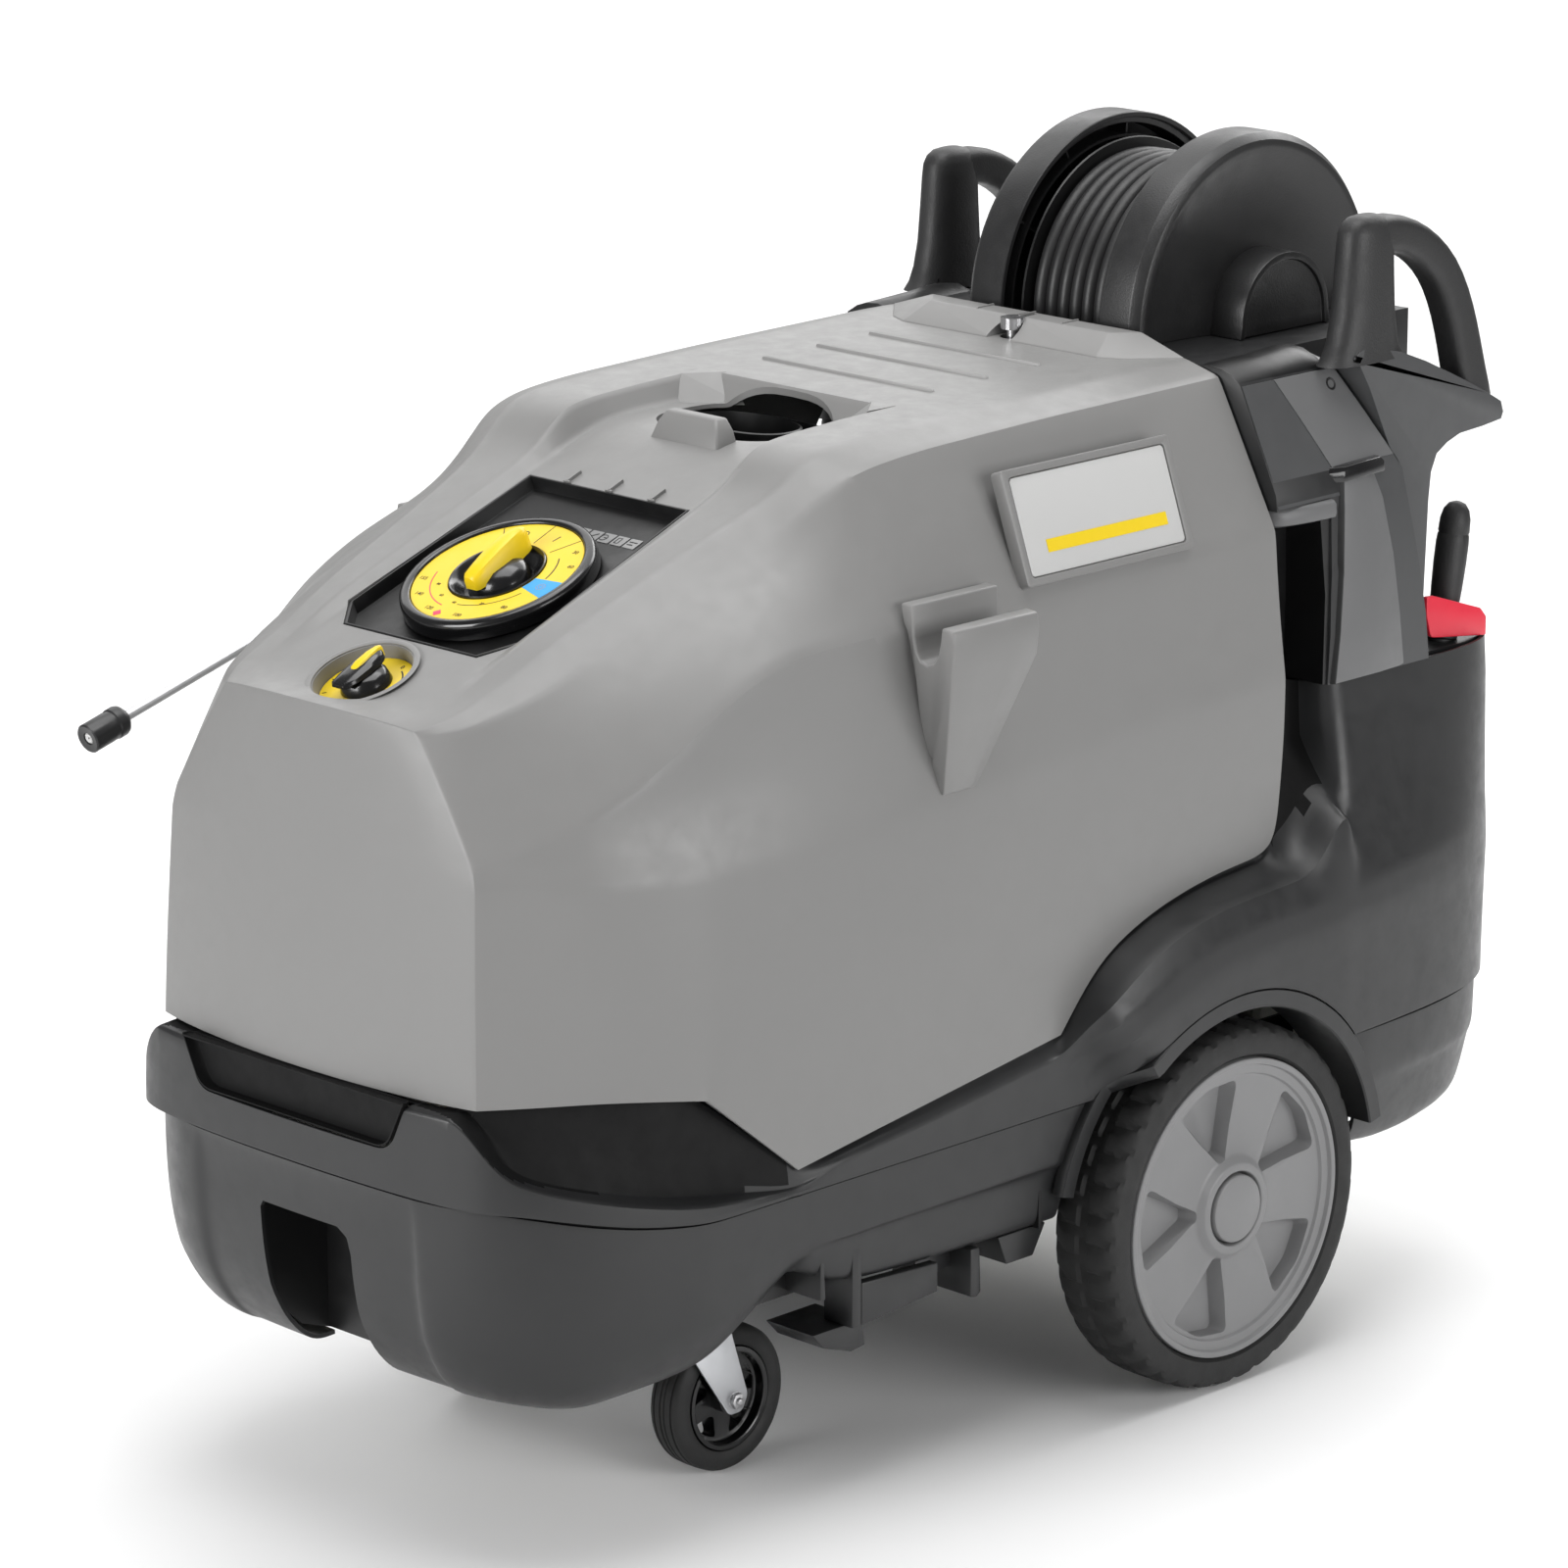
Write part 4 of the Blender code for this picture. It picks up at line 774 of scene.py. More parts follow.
def build_badge(side, label, look):
    """Blank sign plate in a raised frame, with a plain colour bar along its foot."""
    low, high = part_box("badge_" + label)
    lean = Matrix.Rotation(-side * math.atan2(.308 - .269, .921 - .812), 4, "Y")
    place = Matrix.Translation((low + high) / 2) @ lean

    def sheet(half_y, half_z, x0, x1):
        return placed(side_plate(side, rounded(half_y, half_z, .004, 5), x0, x1), place)

    border = add_mesh("badge_frame_" + label, sheet(.113, .054, -.0120, .0022))
    cut(border, sheet(.1045, .0465, -.0010, .02))
    bevelled(border, .0014, 2, 40)
    finish_piece(border, look["hood"], "hood")
    face = bevelled(add_mesh("badge_sign_" + label, sheet(.1035, .0455, -.0010, .0012)), .0005, 2, 40)
    finish_piece(face, look["white"], "hood", ("badge_" + label,))
    bar = block((.0012 if side > 0 else -.0016, -.076, -.0270), (.0016 if side > 0 else -.0012, .086, -.0150))
    finish_piece(add_mesh("badge_bar_" + label, placed(bar, place)), look["yellow"], "hood")


# ---------------------------------------------------------------- control panel and dials

def flat_bar(points, width, low, high):
    """A printed stroke along points on the dial face."""
    rows = []
    for i, p in enumerate(points):
        a = points[max(0, i - 1)]
        b = points[min(len(points) - 1, i + 1)]
        dx, dy = b[0] - a[0], b[1] - a[1]
        size = math.hypot(dx, dy)
        nx, ny = -dy / size * width / 2, dx / size * width / 2
        rows.append([(p[0] + nx, p[1] + ny, low), (p[0] - nx, p[1] - ny, low), (p[0] - nx, p[1] - ny, high),
                     (p[0] + nx, p[1] + ny, high)])
    return loft(rows)


def polar(radius, degrees):
    """Point on a dial: degrees run clockwise from the top of the slope."""
    a = math.radians(90 - degrees)
    return (radius * math.cos(a), radius * math.sin(a))


def arc_points(radius, start, stop, count=24):
    return [polar(radius, start + (stop - start) * i / (count - 1)) for i in range(count)]


def sector(r0, r1, start, stop, low, high, count=16):
    outline = arc_points(r1, start, stop, count) + arc_points(r0, stop, start, count)
    return plate("XY", outline, low, high)


def numeral(text, size, centre, low, high):
    """Plain dial number as a thin raised mesh."""
    data = bpy.data.curves.new("numeral", "FONT")
    data.body = text
    data.size = size
    data.align_x = "CENTER"
    data.align_y = "CENTER"
    data.extrude = (high - low) / 2
    bm = bmesh.new()
    bm.from_mesh(curve_mesh(data))
    return placed(bm, Matrix.Translation((*centre, (low + high) / 2)))


def build_panel(look):
    """Sunk control panel with its tiles, and the main dial with its selector."""
    place = on_slope(PANEL)
    tray = add_mesh("panel_tray", placed(plate("XY", window_outline(-.0006), -.0200, -.0012), place))
    pocket = placed(plate("XY", window_outline(-.0030), -.0155, .03), place)
    cut(tray, pocket)
    bevelled(tray, .0009, 2, 40)
    finish_piece(tray, look["black"], "hood", ("control_panel",))
    tiles = [plate("XY", rounded(.0072, .0072, .001, 3, (.006 + i * .0165, .083)), -.0156, -.0150)
             for i in range(5)]
    finish_piece(add_mesh("panel_tiles", placed(merge(*tiles), place)), look["pale"], "hood")
    strokes = [
        (circle(.0036, 20, (.006, .083), 21), .0009),
        ([(.0190, .0795), (.0262, .0865)], .0012),
        (circle(.0042, 20, (.0350, .083), 21) + [(.0392, .083), (.0350, .083)], .0009),
        ([(.0515, .0790), (.0515, .0870), (.0560, .0870), (.0560, .0790), (.0515, .0790)], .0009),
        ([(.0670, .0850), (.0765, .0850)], .0012),
        ([(.0670, .0808), (.0735, .0808)], .0012),
    ]
    marks = [flat_bar(points, width, -.0151, -.0147) for points, width in strokes]
    finish_piece(add_mesh("panel_marks", placed(merge(*marks), place)), look["print"], "hood")

    dial = on_slope(DIAL)
    rim = [(.0447, -.0145), (.0905, -.0145), (.0918, -.0135), (.0920, -.0030), (.0908, .0012),
           (.0885, .0030), (.0850, .0036), (.0820, .0030), (.0811, .0016), (.0811, -.0020), (.0447, -.0020)]
    finish_piece(add_mesh("dial_rim", spun(rim, dial, 96)), look["gloss"], "hood", ("dial_bezel",), angle=50)
    low, high = -.0016, .0010
    ring = [(.0460, low), (.0806, low), (.0806, high - .0004), (.0802, high), (.0464, high),
            (.0460, high - .0004)]
    finish_piece(add_mesh("dial_face", spun(ring, dial, 96)), look["yellow"], "hood", ("dial_scale",))
    build_print(look, dial, high)
    cup = [(.0000, -.0110), (.0340, -.0110), (.0400, -.0040), (.0430, .0022), (.0446, .0030),
           (.0454, .0022), (.0454, -.0140), (.0000, -.0140)]
    hub = [(.0000, .0100), (.0170, .0090), (.0250, .0040), (.0290, -.0030), (.0305, -.0112), (.0000, -.0112)]
    knob = merge(spun(cup, dial, 72), spun(hub, dial, 72))
    finish_piece(add_mesh("selector_hub", knob), look["gloss"], "selector", ("main_knob",), angle=40)
    blade = pointer_blade(.0440, .0330, .0120, .0270)
    finish_piece(add_mesh("selector_grip", placed(blade, dial)), look["yellow"], "selector",
                 ("main_pointer",), angle=40)


def pointer_blade(front, back, width, height):
    """Tapered pointer grip, tall at its rounded head and falling towards its tail."""
    rows = []
    for y, w, h in ((-back, .55, .50), (-back + .003, .78, .62), (-back * .5, .92, .74), (0, .98, .88),
                    (front * .5, .86, .98), (front * .80, .62, .97), (front * .95, .38, .88),
                    (front, .16, .70)):
        half = width * w
        top = height * h
        rows.append([(-half, y, .002), (-half * .96, y, top * .70), (-half * .70, y, top * .94),
                     (-half * .30, y, top), (half * .30, y, top), (half * .70, y, top * .94),
                     (half * .96, y, top * .70), (half, y, .002)])
    return loft(rows)


def build_print(look, dial, face):
    """Generic dial print: sector lines, an off mark, an on mark, number rings and a marked zone."""
    low, high = face - .0003, face + .00022
    dark = []
    for angle in (-40, -2, 32):
        dark.append(flat_bar([polar(.0500, angle), polar(.0800, angle)], .0007, low, high))
    dark.append(flat_bar(circle(.0040, 28, polar(.0640, -21), 29), .0010, low, high))
    dark.append(flat_bar([polar(.0600, 14), polar(.0690, 14)], .0011, low, high))
    dark.append(flat_bar(arc_points(.0575, 50, 84), .0011, low, high))
    dark.append(flat_bar(arc_points(.0560, 112, 176), .0007, low, high))
    for text, angle, radius in (("30", 46, .0725), ("60", 66, .0725), ("80", 130, .0700),
                                ("100", 166, .0720), ("120", 196, .0720), ("140", 222, .0725),
                                ("155", 244, .0725)):
        dark.append(numeral(text, .0066, polar(radius, angle), low, high))
    for text, angle in (("20", 150), ("40", 182), ("60", 206), ("80", 230)):
        dark.append(numeral(text, .0045, polar(.0545, angle), low, high))
    finish_piece(add_mesh("dial_print", placed(merge(*dark), dial)), look["print"], "hood")
    red = [flat_bar(arc_points(.0625, 190, 252), .0010, low, high)]
    diamond = [(polar(.0735, 184)[0] + dx, polar(.0735, 184)[1] + dy)
               for dx, dy in ((-.005, 0), (0, -.005), (.005, 0), (0, .005))]
    red.append(plate("XY", diamond, low, high))
    finish_piece(add_mesh("dial_print_red", placed(merge(*red), dial)), look["pink"], "hood")
    zone = sector(.0470, .0800, 86, 106, low, high + .00006)
    finish_piece(add_mesh("dial_zone", placed(zone, dial)), look["blue"], "hood")
    drop = [flat_bar(circle(r, 24, polar(.0635, 96), 25), .0006, high, high + .0002) for r in (.0022, .0045)]
    finish_piece(add_mesh("dial_zone_mark", placed(merge(*drop), dial)), look["pale"], "hood")


def build_small_dial(look):
    """Small control below the panel: cup, yellow scale, winged knob and grip."""
    place = on_slope(SMALL_DIAL)
    wall = [(.0000, -.0180), (.0470, -.0180), (.0474, .0006), (.0505, .0016), (.0530, .0006),
            (.0500, -.0004), (.0462, -.0010), (.0446, -.0080), (.0440, -.0160), (.0000, -.0160)]
    finish_piece(add_mesh("small_dial_rim", spun(wall, place, 72)), look["hood"], "hood", angle=40)
    plate_ring = [(.0120, -.0165), (.0436, -.0165), (.0436, -.0128), (.0120, -.0128)]
    finish_piece(add_mesh("small_dial_face", spun(plate_ring, place, 72)), look["yellow"], "hood",
                 ("pressure_plate",))
    low, high = -.0130, -.0125
    marks = [flat_bar(arc_points(.0330, 30, 150), .0014, low, high)]
    for angle in (20, 160):
        marks.append(numeral("0" if angle < 90 else "9", .0070, polar(.0360, angle), low, high))
    for angle in (200, 232, 264, 296):
        marks.append(flat_bar([polar(.0370, angle), polar(.0410, angle)], .0009, low, high))
    finish_piece(add_mesh("small_dial_print", placed(merge(*marks), place)), look["print"], "hood")
    hub = [(.0000, .0020), (.0170, .0010), (.0215, -.0030), (.0240, -.0124), (.0000, -.0124)]
    wings = pointer_blade(.0260, .0300, .0135, .0115)
    knob = merge(spun(hub, place, 60), placed(wings, place))
    finish_piece(add_mesh("pressure_hub", knob), look["gloss"], "pressure_control", ("pressure_knob",),
                 angle=40)
    nose = pointer_blade(.0285, .0130, .0060, .0140)
    finish_piece(add_mesh("pressure_grip", placed(nose, place)), look["yellow"], "pressure_control",
                 ("pressure_pointer",), angle=40)


def build_filler(look):
    """Dark cup under the deck opening, with the oval filler neck standing in it."""
    def rings(centre, levels):
        return loft([[(x, y, z) for x, y in superoval(half_x, half_y, power, centre=centre)]
                     for half_x, half_y, power, z in levels])

    cup = rings((-.002, -.098), ((.0826, .0616, 3.0, .872), (.0826, .0616, 3.0, .9235),
                                 (.0790, .0580, 3.0, .9240), (.0790, .0580, 3.0, .9180),
                                 (.0700, .0490, 2.6, .878)))
    neck = rings((-.004, -.094), ((.0600, .0370, 2.3, .879), (.0600, .0370, 2.3, .9282),
                                  (.0578, .0348, 2.3, .9290), (.0578, .0348, 2.3, .8805)))
    finish_piece(add_mesh("filler_well", merge(cup, neck)), look["black"], "hood", ("filler_cup",), angle=40)


# ---------------------------------------------------------------- base mouldings

PLAN = [(0, -.668), (.06, -.6675), (.120, -.665), (.165, -.6605), (.190, -.6562), (.1965, -.6549),
        (.210, -.651), (.2265, -.644), (.240, -.6335), (.252, -.621), (.268, -.600), (.286, -.566),
        (.300, -.530), (.309, -.490), (.3135, -.455), (.314, -.420), (.314, -.380), (.314, -.345),
        (.314, -.300), (.314, -.240), (.314, -.180), (.314, -.120), (.314, -.060), (.314, -.030),
        (.314, -.001), (.314, .014), (.314, .028), (.314, .042), (.314, .058), (.314, .075), (.314, .100),
        (.314, .130), (.314, .164), (.314, .200), (.314, .240), (.314, .270), (.314, .2930), (.314, .2980),
        (.314, .320), (.3138, .345), (.3136, .366), (.3133, .374), (.313, .400), (.312, .440),
        (.3105, .500), (.309, .560), (.306, .595), (.299, .622), (.287, .643), (.268, .655), (.235, .6615),
        (.160, .666), (.080, .6675), (0, .668)]
SEAM_GAP = .0044
SEAM = [(-.700, .3535), (-.620, .3465), (-.540, .3275), (-.460, .3155), (.75, .3135)]
RIDGE_LOW = [(-.001, .352), (.028, .366), (.065, .384), (.115, .406), (.180, .422), (.250, .429),
             (.310, .431), (.445, .438), (.565, .444), (.668, .446)]
RIDGE_HIGH = [(-.010, .371), (-.003, .379), (.023, .411), (.058, .432), (.091, .451), (.133, .466),
              (.184, .477), (.235, .480), (.300, .484), (.446, .492), (.565, .498), (.668, .500)]
LIP = [(-.655, .4300), (-.6515, .4230), (-.646, .4040), (-.638, .3870), (-.626, .3740), (-.600, .3635),
       (-.566, .3540), (-.530, .3450), (-.490, .3360), (-.455, .3300), (-.344, .3190)]
FLARE = [(0, .041), (.340, .042), (.420, .038), (.500, .032), (.570, .021), (.620, .006), (.650, 0)]


def flare(y, z):
    """How far the rear wheel fender stands out from the side wall."""
    start = .001 + (.385 - z) * .98
    rise = max(0.0, min(1.0, (y - start) / .040))
    return lerp_table(FLARE, y) * rise


def plan_normals(plan):
    normals = []
    for i in range(len(plan)):
        a = plan[max(0, i - 1)]
        b = plan[min(len(plan) - 1, i + 1)]
        dx, dy = b[0] - a[0], b[1] - a[1]
        size = math.hypot(dx, dy)
        normals.append((dy / size, -dx / size))
    normals[0] = (0, -1)
    normals[-1] = (0, 1)
    return normals


def shell_rows(x, y, nx, ny):
    """Points of the upper base moulding at one plan station, from the seam to its top edge."""
    seam = lerp_table(SEAM, y)

    def out(offset, z, swell=1.0):
        return (x + nx * offset + swell * flare(y, z), y + ny * offset, z)

    edge_z = lerp_table(EDGE_Z, y)
    edge_x = lerp_table(EDGE_X, y)
    if y < -.6550:
        top = .4325
        return [out(-.005, seam), out(0, seam), out(0, seam + .004), out(.0003, .3920), out(0, .4275),
                out(-.0020, .4305), out(-.0055, .4320), out(-.010, top), out(-.015, top), out(-.020, top)]
    if y < -.3445:
        lip = lerp_table(LIP, y)
        skew = max(0.0, min(1.0, (-.344 - y) / .10))
        deep = .0035 + .0190 * skew
        deep_y = y - ny * deep
        wall_x = min(edge_x - .004 - .009 * skew, x - nx * deep - .002)
        wall_y = max(deep_y, -.630)
        top_y = max(y, -.632)
        return [out(-.005, seam), out(0, seam), out(0, seam + .004), out(-.0003, (seam + lip) / 2),
                out(-.0010, lip - .0012), out(-.0020 - .0030 * skew, lip + .0006),
                (x - nx * deep, deep_y, lip + .0010 + .0030 * skew),
                ((x - nx * deep + wall_x) / 2, wall_y, lip + (edge_z - lip) * .50),
                (wall_x, top_y, edge_z - .004), (wall_x - .001, top_y, edge_z + .002)]
    if y < 0:
        ridge = edge_z - lerp_table([(-.344, .008), (-.20, .016), (-.001, .018)], y)
        return [out(-.005, seam), out(0, seam), out(0, seam + .004), out(.0002, seam + (ridge - seam) * .3),
                out(.0005, seam + (ridge - seam) * .6), out(.0008, seam + (ridge - seam) * .8),
                out(.0010, ridge - .001), out(-.0005, ridge + .003), out(-.0095, edge_z - .0035),
                out(-.0110, edge_z + .002)]
    low = lerp_table(RIDGE_LOW, y)
    high = lerp_table(RIDGE_HIGH, y)
    skirt = [out(-.005, seam), out(0, seam), out(0, seam + .004), out(.0005, (seam + low) / 2),
             out(.0020, low), out(.0010, (low + high) / 2 + .002, .95)]
    if y < .2955:
        return skirt + [out(.0002, high - .001, .78), out(-.0060, high + (edge_z - high) * .34, .40),
                        out(-.0140, high + (edge_z - high) * .80, .10), out(-.0150, edge_z + .003, 0)]
    if y < .370:
        wide = lerp_table([(.300, .484), (.326, .494), (.341, .512), (.352, .540)], y)
        return skirt + [out(.0002, wide - .001, .78), out(-.028, wide + .016, .30), out(-.050, .590, 0),
                        out(-.052, SHELF - .001, 0)]
    return skirt + [out(0, high, .80), out(-.0005, .550, .40), out(-.001, .615, .08),
                    out(-.003, SHELF - .001, 0)]


ARCH_CENTRE = (.2065, .178)
ARCH_R = .1950


def arch_outline(grow, steps=96):
    """Round wheel arch in the YZ plane."""
    return circle(ARCH_R + grow, steps, ARCH_CENTRE)


def swept_shell(name, plan, row_maker, levels, hard):
    """A thin moulding lofted through plan stations and mirrored to the other side."""
    normals = plan_normals(plan)
    rows = [row_maker(x, y, nx, ny) for (x, y), (nx, ny) in zip(plan, normals)]
    for row in (rows[0], rows[-1]):
        for k, p in enumerate(row):
            row[k] = (0, p[1], p[2])
    obj = add_mesh(name, grid(rows))
    bm = bmesh.new()
    bm.from_mesh(obj.data)
    crease = bm.edges.layers.float.new("crease_edge")
    bm.verts.ensure_lookup_table()
    width = len(rows[0])
    for edge in bm.edges:
        first, second = sorted(vert.index for vert in edge.verts)
        if second - first == width and first % width in hard:
            edge[crease] = hard[first % width]
    bmesh.ops.recalc_face_normals(bm, faces=bm.faces)
    bm.to_mesh(obj.data)
    bm.free()
    mod = obj.modifiers.new("mirror", "MIRROR")
    mod.merge_threshold = .0002
    if levels:
        mod = obj.modifiers.new("smooth", "SUBSURF")
        mod.levels = levels
        mod.render_levels = levels
    return applied(obj)


def face_outward(obj):
    bm = bmesh.new()
    bm.from_mesh(obj.data)
    bmesh.ops.recalc_face_normals(bm, faces=bm.faces)
    bm.faces.ensure_lookup_table()
    centre = Vector((0, 0, .4))
    score = sum((face.calc_center_median() - centre).dot(face.normal) * face.calc_area() for face in bm.faces)
    if score < 0:
        bmesh.ops.reverse_faces(bm, faces=bm.faces)
    bm.to_mesh(obj.data)
    bm.free()


def build_body_shell(look):
    """Upper base moulding with its arches and front grip, and the shelf that closes its rear."""
    shell = swept_shell("base_shell", PLAN, shell_rows, 2, {1: .8, 4: .75, 5: .5, 6: .8, 8: .6})
    face_outward(shell)
    shell.data.materials.append(look["shell"])
    shell.data.materials.append(look["shade"])
    # painted shade: faces under the hood's front corner and in the rear pocket take the near-black shade look
    # instead of the shell plastic
    for face in shell.data.polygons:
        x, y, z = face.center
        in_corner = -.652 < y < -.350 and z > lerp_table(LIP, y) + .006 and abs(x) > .150
        in_pocket = .2980 < y < .3660 and z > .5050 and abs(x) < .3060
        face.material_index = 1 if in_corner or in_pocket else 0
    solidified(shell, .0035)
    arch_tools = [side_plate(side, arch_outline(.0190), .22, .40) for side in (-1, 1)]
    grip = soft_corners([(-.150, .4400), (-.128, .3880), (.128, .3880), (.150, .4400)],
                        (.001, .026, .026, .001))
    cut(shell, *arch_tools, plate("XZ", grip, -.70, -.6500), solver="MANIFOLD")
    finish_piece(shell, None, "machine", ("body_shell",), angle=26)
    build_front_grip(grip, look)
    edge = [(.296, .378), (.294, .600), (.285, .630), (.262, .6455), (.230, .6515)]
    outline = [(-x, y) for x, y in edge] + [(0, .656)] + edge[::-1]
    shelf = plate("XY", outline, SHELF - .0050, SHELF - .0006)
    finish_piece(add_mesh("rear_shelf", shelf), look["shell"], "machine")


def build_front_grip(outline, look):
    """Shallow pan behind the grip cut in the front rim, near-black as painted shade in the recess; its
    outline is in (x, z).
    """
    inside = [(x * .985, min(z, .4345) if z > .43 else z + .0015) for x, z in outline]
    depths = ((-.6655, 1.0), (-.6580, .995), (-.6535, .97))
    bm = grid([[(x * scale, y, z) for x, z in inside] for y, scale in depths], close=True)
    bm.verts.ensure_lookup_table()
    bm.faces.new(bm.verts[-len(inside):])
    bmesh.ops.recalc_face_normals(bm, faces=bm.faces)
    recess = solidified(add_mesh("front_grip_recess", bm), .0015)
    finish_piece(recess, look["shade"], "machine", angle=40)


TRAY = [(0, -.660), (.06, -.6595), (.120, -.6565), (.143, -.6545), (.147, -.6540), (.180, -.6480),
        (.215, -.632), (.240, -.612), (.262, -.588), (.279, -.557), (.292, -.523), (.301, -.486),
        (.306, -.450), (.306, -.418), (.306, -.390), (.306, -.360), (.306, -.330), (.306, -.290),
        (.306, -.240), (.306, -.160), (.306, -.080), (.306, .000), (.306, .060), (.306, .120), (.306, .200),
        (.306, .280), (.306, .350), (.306, .420), (.306, .500), (.304, .560), (.300, .600), (.288, .632),
        (.266, .647), (.238, .655), (.160, .661), (.080, .664), (0, .665)]
UNDER = [(-.700, .150), (-.560, .135), (-.455, .150), (-.418, .158), (-.390, .182), (-.360, .212),
         (-.325, .243), (-.285, .258), (-.080, .252), (.75, .250)]


def seam_rows(x, y, nx, ny):
    """Near-black band behind the gap between the two base mouldings: painted shade in the seam."""
    seam = lerp_table(SEAM, y)
    swell = flare(y, seam) if y > .3 else 0.0
    section = [(-.0080, seam + .0035), (-.0026, seam + .0022), (-.0026, seam - SEAM_GAP - .0024),
               (-.0080, seam - SEAM_GAP - .0035)]
    return [(x + nx * offset + swell, y + ny * offset, z) for offset, z in section]


def tray_rows(x, y, nx, ny):
    """Points of the lower base moulding at one plan station, from the seam down and under."""
    seam = lerp_table(SEAM, y) - SEAM_GAP
    inset = -.006 if x < .145 and y < -.6 else 0.0

    def out(offset, z):
        swell = flare(y, z) if y > .3 else 0.0
        return (x + nx * offset + swell, y + ny * offset, z)

    if y < -.320:
        foot = lerp_table(UNDER, y)
        tuck = lerp_table([(-.50, 1.0), (-.42, .8), (-.36, .4), (-.32, .2)], y)
        tall = seam - foot
        return [out(-.006, seam + .0010), out(0, seam), out(inset * .5, seam - .008),
                out(inset, seam - tall * .20), out(inset - .002 * tuck, seam - tall * .45),
                out(inset - .010 * tuck, seam - tall * .66), out(inset - .026 * tuck, seam - tall * .84),
                out(inset - .048 * tuck - .003, foot + .006), out(-.066 * tuck - .008, foot),
                out(-.080 * tuck - .012, foot + .001)]
    if y < .40:
        foot = lerp_table([(-.320, .2470), (-.285, .2560), (-.08, .2560), (.1, .2560)], y)
        low = lerp_table([(-.32, .2360), (-.28, .2050), (-.05, .1990), (.40, .1990)], y)
        return [out(-.006, seam + .0010), out(0, seam), out(0, seam - .006), out(0, seam - .020),
                out(-.0002, foot + .012), out(-.0006, foot + .002), out(-.0060, foot - .001),
                out(-.0075, (foot + low) / 2), out(-.0090, low + .003), out(-.0200, low)]
    foot = lerp_table([(.400, .182), (.440, .170), (.525, .170), (.600, .196), (.665, .232)], y)
    dent = lerp_table([(.40, 0.0), (.47, .006), (.60, .006), (.66, .002)], y)
    return [out(-.006, seam + .0010), out(0, seam), out(0, seam - .006), out(-.0005, .280),
            out(-.0010, .2600), out(-.0010 - dent, .2500), out(-.008 - dent, .215), out(-.022, .184),
            out(-.048, foot + .002), out(-.085, foot)]


MOUTH_WALL = [(-.6520, .2950), (-.6440, .2300), (-.6260, .1860), (-.6050, .1660), (-.5700, .1540),
              (-.5700, .2950)]


def build_tray(look):
    """Lower base moulding, its floor and wheel wells, and the near-black band behind the seam that paints its
    shade.
    """
    tray = swept_shell("base_tray", TRAY, tray_rows, 2, {1: .8, 5: .35})
    face_outward(tray)
    solidified(tray, .0040)
    tools = [side_plate(side, arch_outline(.0005), .262, .42) for side in (-1, 1)]
    mouth = [(-.060, .115), (-.060, .290), (-.056, .296), (.044, .296), (.056, .288), (.060, .272),
             (.060, .115)]
    tools.append(plate("XZ", mouth, -.72, -.50))
    cut(tray, *tools, solver="MANIFOLD")
    finish_piece(tray, look["shell"], "machine", ("chassis_tray",), angle=28)
    floor_parts = [block((-.2500, -.398, .1945), (.2500, .398, .1985)),
                   plate("YZ", MOUTH_WALL, -.0640, -.0605), plate("YZ", MOUTH_WALL, .0605, .0640),
                   block((-.0640, -.5740, .1560), (.0640, -.5700, .3400)),
                   block((-.0640, -.6400, .2960), (.0640, -.5700, .2990))]
    for side in (-1, 1):
        floor_parts += [side_block(side, (.2480, -.4000, .1945), (.2520, .4000, .3100)),
                        side_block(side, (.2440, -.0150, .1990), (.2990, -.0110, .3000)),
                        side_block(side, (.2440, .4260, .1800), (.2990, .4300, .3000))]
    finish_piece(add_mesh("tray_inside", merge(*floor_parts)), look["black"], "machine")
    # painted shade: a near-black strip fills the gap behind the seam
    band = swept_shell("seam_painted_shade", TRAY, seam_rows, 1, {1: .8, 2: .8})
    face_outward(band)
    solidified(band, .0012)
    cut(band, *[side_plate(side, arch_outline(.0060), .262, .42) for side in (-1, 1)], solver="MANIFOLD")
    finish_piece(band, look["shade"], "machine")
    build_arch_lips(look)
    build_underside(look)


ARCH_WALL = .3140
ARCH_LIP = [(.0178, .012), (.0178, .0006), (.0168, -.0006), (.0016, -.0006), (.0002, .0010), (.0002, .060),
            (.0030, .060), (.0034, .012)]


def build_arch_lips(look):
    """Rim of the lower moulding that runs up and round each wheel arch."""
    first, last, count = 12, 166, 76
    for side, label in SIDES:
        rows = []
        for i in range(count):
            t = math.radians(last + (first - last) * i / (count - 1))
            row = []
            for grow, depth in ARCH_LIP:
                y = ARCH_CENTRE[0] + (ARCH_R + grow) * math.cos(t)
                z = ARCH_CENTRE[1] + (ARCH_R + grow) * math.sin(t)
                row.append((side * (ARCH_WALL + flare(y, z) - depth), y, z))
            rows.append(row)
        finish_piece(add_mesh("arch_lip_" + label, loft(rows)), look["shell"], "machine", angle=40)


UNDER_BRACKETS = [
    ([(-.300, .1990), (-.300, .2540), (-.296, .2540), (-.293, .1990)], .225, .296),
    ([(-.262, .2560), (-.250, .2560), (-.250, .1640), (-.262, .1640)], .262, .2990),
    ([(-.250, .2050), (-.150, .2000), (-.150, .1720), (-.250, .1640)], .288, .2990),
    ([(-.300, .1640), (-.235, .1640), (-.232, .1380), (-.250, .1360), (-.285, .1480)], .225, .2860),
    ([(-.150, .2000), (-.100, .2000), (-.100, .1780), (-.150, .1720)], .240, .2700),
    ([(-.104, .2000), (-.092, .2000), (-.090, .1560), (-.096, .1520), (-.104, .1540)], .235, .2970),
    ([(-.060, .1990), (.005, .1990), (-.012, .1700), (-.048, .1700)], .215, .2900),
]


